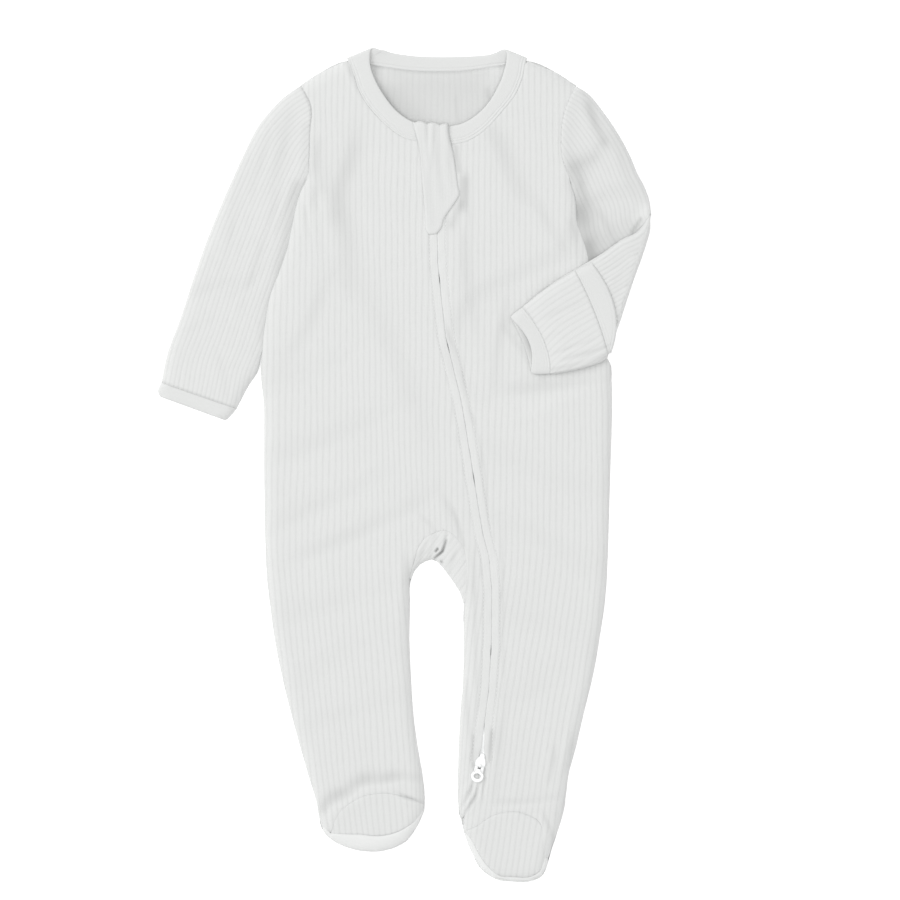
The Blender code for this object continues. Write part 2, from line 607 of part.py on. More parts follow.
def instep(name, foot):
    """Top of a foot, between the leg's seam and the sole's seam."""
    plan = between(beside(foot[:, 0:2], GAP), foot[:, 2:4], [0.0, 0.33, 0.67, 1.0])
    cloth(name, [on_front(plan.transpose(1, 0, 2))], RIBBED)


def sole(name, foot, heel, side, turn):
    """Underside of a foot, wrapped up round the toes to its seam with the instep."""
    seam = beside(foot[:, 2:4], TOE_GAP)
    toe = foot[:, 4:6]
    heel_line = between([heel[0]], [heel[1]], np.linspace(0.0, 1.0, len(foot)))[0] - (0.0, GAP)
    middle = (toe + heel_line) / 2
    middle[side] = turn
    shoulder = seam + (toe - seam) * TOE_SHOULDER
    under = toe + (middle - toe) * TOE_UNDER
    rows = [
        on_front(seam), on_front(shoulder), with_height(toe, EDGE_TOP - SLEEVE_EDGE),
        with_height(toe, SLEEVE_EDGE), with_height(under, 0.0), with_height(middle, 0.0),
        with_height(heel_line, 0.0),
    ]
    cloth(name, [np.array(rows)], SMOOTH)


instep("instep_left", left_foot)
instep("instep_right", right_foot)
sole("sole_left", left_foot, LEFT_HEEL, 0, LEFT_HEEL_SIDE[2])
sole("sole_right", right_foot, RIGHT_HEEL, -1, RIGHT_HEEL_SIDE[2])

# ---- zip tapes and chain ----


def zip_strip(name, left, right, end, wall, look):
    """A strip under the fronts that follows the closing line, between two offsets from it."""
    heights = [row[0] for row in ZIP_LINE if end < row[0] < ZIP_TOP]
    heights = np.array([ZIP_TOP] + heights + [end])
    middle = zip_x(heights)[0]
    plan = np.stack([np.stack([middle + shift, heights], axis=-1) for shift in (left, right)],
                    axis=1)
    cloth(name, [with_height(plan, front_height(plan) - WALL - LAYER_GAP)], look, wall)


zip_strip("zip_tape_left", -TAPE_OUTER, -TAPE_INNER, TAPE_END, TAPE_WALL, TAPE)
zip_strip("zip_tape_right", TAPE_INNER, TAPE_OUTER, TAPE_END, TAPE_WALL, TAPE)
zip_strip("zip_chain", -CHAIN_HALF, CHAIN_HALF, CHAIN_END, CHAIN_WALL, TAPE)

# ---- slider and pull ----

#   x, y of the wings' outline, from the hinge
WING = [
    (-1.3, 8.8), (-2.6, 5.8), (-3.6, 3.0), (-3.3, 0.2), (-2.4, -2.0),
    (2.4, -2.0), (3.3, 0.2), (3.6, 3.0), (2.6, 5.8), (1.3, 8.8),
]
LOWER_WING_SCALE = 0.93
JOIN = 0.4          # overlap of the parts that make up the slider
CORE = [(-1.3, -1.4), (1.3, -1.4), (1.3, 6.6), (-1.3, 6.6)]
#   y, z of the bridge, an arch over the hinge
BRIDGE = [
    (-1.6, 5.8), (-0.9, 5.8), (-0.9, BRIDGE_UNDER), (1.2, BRIDGE_UNDER), (1.2, 5.8),
    (1.9, 5.8), (1.9, BRIDGE_TOP), (-1.6, BRIDGE_TOP),
]


def prism(name, outline, low, high, look):
    """An outline in plan, drawn from low to high."""
    face = tuple(range(len(outline)))
    return finish(name, with_height(outline, high), [face], look, high - low)


def placed(made):
    """Set an object on the slider's frame, at the hinge."""
    made.location = (HINGE[0] * MM, HINGE[1] * MM, 0.0)
    made.rotation_euler = (0.0, 0.0, SLIDER_LEAN)


def tool(made, target, operation):
    """Join an object to a target, or cut it out of the target."""
    made.hide_render = True
    made.display_type = "WIRE"
    step = target.modifiers.new(made.name, "BOOLEAN")
    step.operation = operation
    step.object = made


slider = prism("zip_slider", WING, *UPPER_WING_Z, PLASTIC)
lower = prism("lower_wing", np.array(WING) * LOWER_WING_SCALE, *LOWER_WING_Z, PLASTIC)
core = prism("slider_core", CORE, LOWER_WING_Z[1] - JOIN, UPPER_WING_Z[0] + JOIN, PLASTIC)
arch_points = [(BRIDGE_HALF, y, z) for y, z in BRIDGE]
arch = finish("slider_bridge", arch_points, [tuple(range(len(BRIDGE)))], PLASTIC, 2 * BRIDGE_HALF)
for piece in (lower, core, arch):
    tool(piece, slider, "UNION")
    placed(piece)
placed(slider)

#   x, y of the pull's head, from the hinge
PULL_HEAD = [(2.4, -1.5), (2.1, PIN_HALF), (-2.1, PIN_HALF), (-2.4, -1.5)]
CUT_PAST = 1.0      # how far a cutter reaches past the plate

ring_start = np.arcsin(PULL_NECK / PULL_RADIUS)
ring_angles = np.linspace(np.pi / 2 + ring_start, 5 * np.pi / 2 - ring_start, 21)
ring_line = [
    (PULL_RADIUS * np.cos(a), PULL_RADIUS * np.sin(a) - PULL_RING) for a in ring_angles
]
pull_line = PULL_HEAD + ring_line
pull_z = (HINGE_Z - PULL_HALF, HINGE_Z + PULL_HALF)
pull = prism("zip_pull", pull_line, *pull_z, PLASTIC)
hole_angles = np.linspace(0.0, 2 * np.pi, 20, endpoint=False)
hole_line = [
    (PULL_HOLE[0] * np.cos(a), PULL_HOLE[1] * np.sin(a) - PULL_RING) for a in hole_angles
]
eye_half, eye_end = EYE
eye_line = [(-eye_half, -eye_end), (eye_half, -eye_end), (eye_half, -PIN_HALF),
            (-eye_half, -PIN_HALF)]
for label, line in (("pull_hole", hole_line), ("pull_eye", eye_line)):
    cutter = prism(label, line, pull_z[0] - CUT_PAST, pull_z[1] + CUT_PAST, PLASTIC)
    tool(cutter, pull, "DIFFERENCE")
    placed(cutter)
placed(pull)
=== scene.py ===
"""Footed baby sleepsuit in ribbed cotton knit, laid flat on its back and closed with a long zip.

The neck points to +Y, the feet to -Y and the front up. Tables are in millimetres, and left and
right are as seen from above.
"""

import bpy
import numpy as np
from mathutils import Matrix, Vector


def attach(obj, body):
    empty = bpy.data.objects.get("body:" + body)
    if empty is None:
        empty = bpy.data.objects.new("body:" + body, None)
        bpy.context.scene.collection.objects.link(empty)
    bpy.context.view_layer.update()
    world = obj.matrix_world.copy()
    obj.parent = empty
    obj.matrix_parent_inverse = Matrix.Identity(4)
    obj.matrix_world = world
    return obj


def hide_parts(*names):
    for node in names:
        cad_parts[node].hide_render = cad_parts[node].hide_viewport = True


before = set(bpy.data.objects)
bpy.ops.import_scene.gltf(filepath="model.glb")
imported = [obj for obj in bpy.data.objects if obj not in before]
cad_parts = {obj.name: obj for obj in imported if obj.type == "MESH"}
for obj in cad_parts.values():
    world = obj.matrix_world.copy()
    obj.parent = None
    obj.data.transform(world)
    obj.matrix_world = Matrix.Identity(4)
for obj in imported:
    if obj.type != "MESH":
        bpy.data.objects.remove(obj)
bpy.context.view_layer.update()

# ---- room: a sheet of opal acrylic lit from below, a soft lamp low on the left, a wide one
# overhead, and the camera straight over the suit. The lit sheet leaves only pale shadows. ----

MM = 0.001
OPAL_WHITE = "#fafafa"
OPAL_GLOW = 0.3
SHEET_HALF = 3000.0
SHEET_Z = -0.3
VIEW_CENTRE = (29.8, 9.4)
VIEW_WIDTH = 603.0
LENS = 160.0
SENSOR = 36.0
SKY = 0.61
#   x, y, z in metres, side in metres, power in watts
LAMPS = [(-2.8, 1.4, 2.6, 2.4, 64), (0.3, -0.1, 3.6, 2.6, 44)]


def linear(code):
    """An sRGB hex colour as linear light: a straight foot, then the 2.4 power of the curve."""
    share = np.array([int(code[place:place + 2], 16) for place in (1, 3, 5)]) / 255
    value = np.where(share <= 0.04045, share / 12.92, ((share + 0.055) / 1.055) ** 2.4)
    return (*(float(v) for v in value), 1.0)


def node(tree, kind, settings, links=None):
    """Adds a node, sets its properties and sockets, and links its inputs from other sockets."""
    made = tree.nodes.new(kind)
    for key, value in settings.items():
        if isinstance(key, int) or key in made.inputs:
            made.inputs[key].default_value = value
        else:
            setattr(made, key, value)
    for key, socket in (links or {}).items():
        tree.links.new(socket, made.inputs[key])
    return made


def material(name, colour, settings):
    """A Principled material with its constants set on the shader's own sockets."""
    made = bpy.data.materials.new(name)
    made.use_nodes = True
    shader = made.node_tree.nodes["Principled BSDF"]
    shader.inputs["Base Color"].default_value = linear(colour)
    for key, value in settings.items():
        shader.inputs[key].default_value = value
    return made, made.node_tree, shader


def grained(name, colour, settings, kind, pattern, strength, depth):
    """A material whose face has a fine relief from one texture, in the object's own space."""
    made, tree, shader = material(name, colour, settings)
    place = node(tree, "ShaderNodeTexCoord", {})
    texture = node(tree, kind, pattern, {"Vector": place.outputs["Object"]})
    relief = node(tree, "ShaderNodeBump", {"Strength": strength, "Distance": depth},
                  {"Height": texture.outputs["Fac"]})
    tree.links.new(relief.outputs["Normal"], shader.inputs["Normal"])
    return made


# Opal acrylic, cast and matted: it scatters the light below it evenly and has no sharp gloss.
opal = grained(
    "opal_acrylic_sheet", OPAL_WHITE,
    {"Roughness": 0.8, "IOR": 1.49, "Emission Color": (1.0, 1.0, 1.0, 1.0),
     "Emission Strength": OPAL_GLOW},
    "ShaderNodeTexNoise", {"Scale": 700.0, "Detail": 2.0}, 0.05, 0.0002)
sheet_mesh = bpy.data.meshes.new("opal_sheet")
corners = np.array([(-1, -1), (1, -1), (1, 1), (-1, 1)]) * SHEET_HALF
sheet_mesh.from_pydata([(x * MM, y * MM, SHEET_Z * MM) for x, y in corners], [], [(0, 1, 2, 3)])
sheet_mesh.materials.append(opal)
ground = bpy.data.objects.new("opal_sheet", sheet_mesh)
bpy.context.scene.collection.objects.link(ground)

world = bpy.data.worlds.new("soft_room")
world.use_nodes = True
world.node_tree.nodes["Background"].inputs["Color"].default_value = (1.0, 1.0, 1.0, 1.0)
world.node_tree.nodes["Background"].inputs["Strength"].default_value = SKY
bpy.context.scene.world = world
bpy.context.scene.view_settings.view_transform = "Standard"

aim = np.array([VIEW_CENTRE[0] * MM, VIEW_CENTRE[1] * MM, 0.0])
for number, (x, y, z, side, power) in enumerate(LAMPS):
    lamp = bpy.data.lights.new(f"soft_lamp_{number}", "AREA")
    lamp.shape = "SQUARE"
    lamp.size = side
    lamp.energy = power
    holder = bpy.data.objects.new(f"soft_lamp_{number}", lamp)
    holder.location = (x, y, z)
    towards = Vector(tuple(aim - (x, y, z)))
    holder.rotation_euler = towards.to_track_quat("-Z", "Y").to_euler()
    bpy.context.scene.collection.objects.link(holder)

camera = bpy.data.cameras.new("camera")
camera.lens = LENS
camera.sensor_width = SENSOR
camera_holder = bpy.data.objects.new("camera", camera)
camera_holder.location = (aim[0], aim[1], VIEW_WIDTH * MM * LENS / SENSOR)
bpy.context.scene.collection.objects.link(camera_holder)
bpy.context.scene.camera = camera_holder

# ---- back: one flat piece of ribbed knit for torso and legs, lying on the surface. It is cut
# with the ribs lengthwise and joined to the fronts by seams that are turned inside. ----

#   x, y from the shoulder to the underarm
ARMHOLE_LEFT = [
    (-70, 253.3), (-66.7, 248.2), (-63.6, 241.5), (-62.5, 234.5), (-63.3, 227),
    (-63.8, 219.5), (-64, 212.5), (-64.4, 205), (-64.7, 197.5), (-66.3, 190.3),
]
ARMHOLE_RIGHT = [
    (114.2, 252.9), (110.6, 246.6), (107.4, 239.5), (105.4, 232.5), (104.3, 225.5),
    (104, 218.5), (104, 211.5), (104.9, 204.5), (107.4, 197), (110.6, 188.3),
]
SHOULDER_LEFT = [(-40.4, 269.7), (-56.6, 262.6), (-70.1, 253.7)]
SHOULDER_RIGHT = [(82.8, 269.7), (100.2, 262.6), (114.3, 253.4)]
#   side x, y, zip y
LEFT_SIDE = [
    (-66.3, 190.3, 189.6), (-70.7, 180.9, 179.6), (-74.7, 165.5, 166.2), (-79.4, 143.4, 143.4),
    (-84.8, 128, 128), (-90.8, 111.9, 111.9), (-93.8, 95.1, 95.1), (-95.8, 76.4, 76.4),
    (-96.6, 57.6, 57.6), (-94.9, 39.5, 39.5), (-94.8, 19.4, 19.4), (-94.8, -4, -4),
    (-94.5, -27.5, -27.5),
]
RIGHT_SIDE = [
    (110.6, 188.3, 188.3), (113.9, 175.5, 175.5), (114.9, 162.1, 162.1), (120.3, 146.7, 146.7),
    (124, 128, 128), (126, 109.9, 109.9), (128.6, 89.8, 89.8), (132, 75, 74.4),
    (136.9, 67.7, 67), (138, 56.3, 56.3), (138.4, 39.5, 39.5), (138, 19.4, 19.4),
    (137.2, -4, -4), (136.5, -27.5, -27.5), (136, -46.2, -46.2), (135.4, -64.3, -64.3),
    (134, -87.8, -87.8), (130.3, -114.6, -114.6), (125.6, -141.4, -141.4),
    (119.6, -166.2, -166.2), (116.2, -180.9, -182), (114, -190.3, -190.3),
    (113, -194, -194), (110.3, -203.5, -203.5), (109.5, -206.5, -206.5),
    (107.5, -222, -221.8),
]
RIGHT_FORK = 15     # row of RIGHT_SIDE level with the fork
#   seam x, y, edge x, y
GUSSET = [
    (3, -76.4, 3.6, -78), (6.4, -63.7, 6.7, -70.7), (8.4, -56.3, 10, -67.2),
    (12.8, -49.6, 14, -64.9), (19.1, -46.1, 17.5, -63.9), (25.8, -43.9, 20, -64.3),
    (30.8, -46.2, 22.3, -66.3), (35.8, -51.3, 25, -69.5), (39.5, -58.3, 28.3, -74),
    (40.9, -69.7, 32, -79), (40.4, -83.1, 35.8, -84.8), (39.1, -93.8, 38.5, -92),
]
GUSSET_LEG, FORK, GUSSET_STRIP = 3, 4, 5    # rows of GUSSET: left leg, apex, strip
#   outer x, y, inner x, y
LEFT_LEG = [
    (-94.1, -47.6, 12.8, -49.6), (-93.9, -54.6, 8.4, -56.3), (-93.6, -62, 6.4, -63.7),
    (-92.8, -76.4, 3, -76.4), (-90.5, -95.8, 3.1, -94.5), (-87.4, -117.9, 2.7, -116.6),
    (-82.1, -144.7, 3.7, -142), (-75.4, -171.5, 5.4, -168.2), (-68, -198.3, 8.9, -193.6),
    (-63, -215.1, 11.7, -209.4),
]
#   inner x, y, zip y
STRIP = [
    (25.8, -43.9, -46.2), (30.8, -46.2, -50), (35.8, -51.3, -54), (39.5, -58.3, -62.3),
    (40.9, -69.7, -71), (40.4, -83.1, -84.4), (39.1, -93.8, -95), (38.9, -117.9, -117.9),
    (38.2, -150, -150.8), (36.9, -164, -164), (36.3, -173.5, -172.9),
    (35.9, -182, -182), (35.6, -190.3, -190.3), (35.4, -194, -194),
    (35.1, -203.5, -203.5), (35, -206.5, -206.5), (34.7, -218, -215),
    (35.4, -229, -226), (36.4, -235.8, -234.5), (37.7, -237.5, -237.3),
]
#   leg seam x, y, sole seam x, y, toe edge x, y
LEFT_FOOT = [
    (-49.8, -246.3, -49.6, -247.3, -50.2, -250.9), (-47, -238, -45.9, -247.4, -44, -254.6),
    (-41.9, -230.8, -39, -247.6, -36, -257.6), (-33.8, -224.8, -30, -247.8, -28, -259.1),
    (-25, -221.2, -20, -248.8, -18, -259.3), (-12.4, -220.1, -9, -247.4, -8, -257),
    (-2.3, -222.1, -1.7, -244.4, 0.8, -252.3), (5.5, -224.3, 5.5, -239.7, 7.5, -243.2),
    (12.7, -227.9, 12, -231.6, 12.7, -232.3),
]
#   seam x, y, toe edge x, y where the left sole wraps up round the side
RIGHT_FOOT = [
    (39.4, -245.4, 40.6, -247.4, 39.5, -248), (47, -242.6, 45, -252.8, 41.9, -254.6),
    (53.3, -238.2, 48.3, -259.4, 45.3, -262), (58.5, -235.2, 54.5, -268.5, 50.5, -271),
    (64, -233.2, 62, -275, 58.5, -277), (74.4, -232.3, 73, -276.4, 71.5, -279.4),
    (82.7, -234.8, 83, -276.4, 83.5, -279.2), (89.2, -239, 89.6, -273, 91.5, -275.6),
    (91.6, -246, 92, -268, 94.5, -270), (93.2, -262.4, 93.4, -263.4, 95.4, -264.6),
]
LEFT_HEEL_SIDE = [(-59.6, -226), (-59, -232.5), (-57.4, -238.7), (-55.2, -245.2)]
RIGHT_HEEL_SIDE = [(106, -232), (104.5, -238.2), (102.2, -245.2), (98.8, -254)]
LEFT_HEEL = [(-59.8, -224), (13, -224)]
RIGHT_HEEL = [(35.8, -233), (106.2, -231)]
#   free edge x, y, seam edge x, y, height of the middle of the wall
NECK_BACK = [
    (-14, 277, -25.1, 267.7, 0.9), (-7.7, 275.1, -9, 265, 0.9),
    (4.4, 273.4, 4.4, 263.4, 0.9), (23.1, 272.6, 23.1, 262.8, 0.9),
    (41.9, 273, 41.9, 263.6, 0.9), (53.9, 273.8, 54.6, 265.3, 0.9),
    (60.6, 275.5, 68.7, 267.5, 0.9),
]

WALL = 1.4              # ribbed knit, pressed
BUTT = -0.12            # gap between two pieces at a seam: they overlap a little
BACK_ACROSS = 0.95      # size of the mesh across the ribs
RIB = 4.0               # from one groove to the next
SEAM_REACH = 1.1        # how wide a seam pulls the cloth in
BACK_EDGE = 2.6         # width of the back's turned-up edge
KNIT = "#dfe0df"
# the shade colour: painted shade in the grooves between the ribs, and the tone of a slow random
# cloudiness
KNIT_SHADE = "#cacbca"
PAINTED_DEEP_SHADE = "#a4a5a4"    # painted shade at the bottom of a deep hollow
WALE = 1.0              # four columns of stitches to a rib
COURSE = 0.95
#   hollows in the underside: x, y, x, y, half width, depth; they rise from the surface
BACK_HOLLOWS = [
    (-30, 210, -52, 120, 9, 0.7), (60, 225, 82, 150, 10, 0.6),
    (-60, 20, -20, -38, 8, 0.6), (70, -20, 104, -60, 7, 0.7),
    (-45, -90, -38, -170, 6, 0.5), (88, -110, 72, -190, 6.5, 0.6),
    (10, -20, 22, -52, 5, 0.5), (25, 120, 30, 40, 8, 0.4),
]


def curve(knots, rows, at):
    """Cubic Hermite curve through the rows: each gap blends its two rows and their mean slopes."""
    slopes = np.gradient(rows, knots, axis=0)
    low = np.clip(np.searchsorted(knots, at, side="right") - 1, 0, len(knots) - 2)
    shape = (-1,) + (1,) * (rows.ndim - 1)
    gap = (knots[low + 1] - knots[low]).reshape(shape)
    t = (at - knots[low]).reshape(shape) / gap
    start = (1 + 2 * t) * (1 - t) ** 2 * rows[low] + t * (1 - t) ** 2 * gap * slopes[low]
    end = t * t * (3 - 2 * t) * rows[low + 1] - t * t * (1 - t) * gap * slopes[low + 1]
    return start + end


def knots_of(rows):
    """Running length of a table: the largest change of any of its numbers, row by row."""
    change = np.abs(np.diff(rows.reshape(len(rows), -1), axis=0)).max(axis=1)
    return np.r_[0.0, np.cumsum(change)]


def resample(rows, count, power=1.0):
    """The given number of points on the curve through the rows, closer at its start if the
    power is above 1."""
    rows = np.asarray(rows, float)
    knots = knots_of(rows)
    return curve(knots, rows, np.linspace(0.0, 1.0, count) ** power * knots[-1])


def between(a, b, shares):
    """Points at the given shares of the way from each row of a to the same row of b."""
    a, b = np.asarray(a, float)[:, None, :], np.asarray(b, float)[:, None, :]
    return a + (b - a) * np.asarray(shares, float)[None, :, None]


def plan_of(table, first=0):
    """Two neighbouring columns of a table as plan points."""
    return [tuple(row[first:first + 2]) for row in table]


def offset_from(points, lines):
    """Shortest way in plan to each point from any of the polylines."""
    points = np.asarray(points, float)[..., :2]
    best, offset = np.full(points.shape[:-1], np.inf), 0.0 * points
    for line in lines:
        line = np.asarray(line, float)[:, :2]
        for start, end in zip(line[:-1], line[1:]):
            run = end - start
            share = np.clip(((points - start) @ run) / max(run @ run, 1e-9), 0.0, 1.0)
            gap = points - start - share[..., None] * run
            square = (gap * gap).sum(axis=-1)
            offset = np.where((square < best)[..., None], gap, offset)
            best = np.minimum(best, square)
    return offset


def distance(points, lines):
    """Shortest distance in plan from each point to any of the polylines."""
    return np.linalg.norm(offset_from(points, lines), axis=-1)


def unit(vectors):
    """The vectors' directions, with a length of 1."""
    return vectors / np.maximum(np.linalg.norm(vectors, axis=-1, keepdims=True), 1e-9)


def rise(gap, width):
    """Quarter of an ellipse: 0 at an edge, 1 from the width inwards."""
    left = np.clip(1.0 - gap / width, 0.0, 1.0)
    return np.sqrt(1.0 - left * left)


def ease(share):
    """Smooth step from 0 to 1: 3 t squared less 2 t cubed."""
    share = np.clip(share, 0.0, 1.0)
    return share * share * (3.0 - 2.0 * share)


def bell(gap, width):
    """Gaussian: 1 at no distance, falling off over the width."""
    return np.exp(-(gap / width) ** 2)


def creases(points, table):
    """Soft folds: a Gaussian across each line, with a low ridge beside it of half the depth and
    of the other sign, that fades past both ends of the line."""
    total = np.zeros(points.shape[:-1])
    for x0, y0, x1, y1, width, depth in table:
        run = np.array([x1 - x0, y1 - y0])
        length = np.linalg.norm(run)
        run = run / length
        offset = points[..., :2] - (x0, y0)
        forward = offset @ run
        side = offset @ np.array([run[1], -run[0]])
        side = side + 0.25 * width * np.sin(3.1 * forward / length + x0)
        past = np.maximum(np.maximum(-forward, forward - length), 0.0)
        fade = bell(past, 0.2 * length + width) * (0.8 + 0.2 * np.sin(5.0 * forward / length))
        total += depth * fade * (bell(side, width) - 0.45 * bell(side - 1.9 * width, 1.3 * width))
    return total


def ribbing(across, along):
    """Ribs from a distance across and one along: that distance with a little wander, and how
    deep the groove is there, a cosine to the sixth power. It swells and fades along each rib
    by its own sines, and a fainter groove splits some of the ribs in two."""
    wander = (0.3 * np.sin(along / 23.0 + across / 37.0)
              + 1.3 * np.sin(across / 21.0 + along / 70.0)
              + 0.2 * np.sin(along / 8.1 + across / 5.3))
    across = across + wander
    own = 2.3 * np.round(across / RIB)
    swell = (0.62 + 0.3 * np.sin(along / 37.0 + own) + 0.22 * np.sin(along / 11.0 + 1.7 * own)
             + 0.16 * np.sin(along / 3.7 + across + own))
    split = 0.3 + 0.4 * np.sin(along / 29.0 + 1.3 * across / RIB)
    groove = (np.cos(np.pi * across / RIB) ** 6 * np.clip(swell, 0.1, 1.3)
              + np.sin(np.pi * across / RIB) ** 10 * np.clip(split, 0.0, 1.0) * 0.5)
    return across, groove


def painted_shade_along(points, table):
    """Painted shade for light lost in hollows: a Gaussian about each line's stretch, each with its
    own share.
    """
    total = np.zeros(points.shape[:-1])
    for x0, y0, x1, y1, width, share in table:
        total += share * bell(distance(points, [[(x0, y0), (x1, y1)]]), width)
    return total


def lean(points):
    """How far the ribs have moved sideways at a point, as they follow each leg down."""
    down = np.clip(-50.0 - points[..., 1], 0.0, None)
    right = ease(points[..., 0] / 45.0)
    return down * down / (down + 40.0) * (0.10 - 0.25 * right)


def mesh_piece(name, points, quads, look, knit=None, marks=None, flat=0):
    """An object from points in millimetres and quads; a quad with a doubled corner is made a
    triangle, and the last flat ones are left unsmoothed. Each point's place in the knit, across
    and along, becomes the UV map, and its marks become attributes: how ribbed it is, which sets
    the painted shade in its grooves, and how much painted shade it takes in a hollow."""
    keep = quads != np.roll(quads, -1, axis=1)
    keep &= (keep.sum(axis=1) >= 3)[:, None]
    corners = quads[keep]
    sizes = keep.sum(axis=1)
    sizes = sizes[sizes > 0]
    mesh = bpy.data.meshes.new(name)
    mesh.vertices.add(len(points))
    mesh.vertices.foreach_set("co", (points * MM).astype(np.float32).ravel())
    mesh.loops.add(len(corners))
    mesh.loops.foreach_set("vertex_index", corners.astype(np.int32))
    mesh.polygons.add(len(sizes))
    mesh.polygons.foreach_set("loop_start", np.r_[0, np.cumsum(sizes)[:-1]].astype(np.int32))
    mesh.update(calc_edges=True)
    mesh.polygons.foreach_set("use_smooth", np.arange(len(sizes)) < len(sizes) - flat)
    if knit is not None:
        layer = mesh.uv_layers.new(name="knit")
        layer.data.foreach_set("uv", knit[corners].astype(np.float32).ravel())
    for key, values in (marks or {}).items():
        mesh.attributes.new(key, "FLOAT", "POINT").data.foreach_set("value", values)
    mesh.materials.append(look)
    made = bpy.data.objects.new(name, mesh)
    bpy.context.scene.collection.objects.link(made)
    return made


def grid_quads(rows, columns):
    """Quads between neighbouring rows and columns of a grid."""
    start = (np.arange(rows - 1)[:, None] * columns + np.arange(columns - 1)).ravel()
    return np.stack([start, start + columns, start + columns + 1, start + 1], axis=-1)


def shell(name, layers, look):
    """Closed cloth from layers of (outer, inner, knit, rib, hollow) grids, hollow being painted
    shade: the layers are joined where they share points, and a rim joins outer to inner along
    every edge used only once. A sixth grid marks the painted shade of the inner face."""
    quads, base = [], 0
    for outer, *_ in layers:
        quads.append(grid_quads(*outer.shape[:2]) + base)
        base += outer.shape[0] * outer.shape[1]
    outer, inner, knit = (
        np.concatenate([layer[k].reshape(-1, layer[k].shape[-1]) for layer in layers])
        for k in range(3)
    )
    rib, hollow = (np.concatenate([layer[k].ravel() for layer in layers]) for k in (3, 4))
    within = np.concatenate([(layer[5:] or (0.0 * layer[4],))[0].ravel() for layer in layers])
    _, first, place = np.unique(np.round(outer, 3), axis=0, return_index=True,
                                return_inverse=True)
    quads = place.ravel()[np.concatenate(quads)]
    outer, inner, knit = outer[first], inner[first], knit[first]
    rib, hollow, within = rib[first], hollow[first], within[first]
    normal = np.cross(outer[quads[:, 2]] - outer[quads[:, 0]],
                      outer[quads[:, 3]] - outer[quads[:, 1]])
    if (normal * (outer - inner)[quads[:, 0]]).sum() < 0.0:
        quads = quads[:, ::-1]
    count = len(outer)
    edges = np.concatenate([quads[:, [k, (k + 1) % 4]] for k in range(4)])
    edges = edges[edges[:, 0] != edges[:, 1]]
    alone = ~np.isin(edges[:, 0] * count + edges[:, 1], edges[:, 1] * count + edges[:, 0])
    start, end = edges[alone].T
    rim = np.stack([end, start, start + count, end + count], axis=-1)
    quads = np.concatenate([quads, quads[:, ::-1] + count, rim])
    marks = {"rib": np.concatenate([rib, 0.6 * rib]),
             "hollow": np.clip(np.concatenate([hollow, within]), 0.0, 1.0)}
    return mesh_piece(name, np.concatenate([outer, inner]), quads, look,
                      np.concatenate([knit, knit]), marks, len(rim))


def lift(plan, height):
    """Plan points with a height, one number or one for each point."""
    level = np.broadcast_to(height, plan.shape[:-1])
    return np.concatenate([plan[..., :2], level[..., None]], axis=-1)


def stand_in(piece, cad_node, body="garment"):
    """The piece takes its CAD node's place and motion."""
    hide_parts(cad_node)
    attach(piece, body)
    return piece


def sewn(name, layers, look, cad_node, flat, area):
    """A cloth piece in its CAD node's place. Its flat size and area are not used."""
    piece = stand_in(shell(name, layers, look), cad_node)
    return piece


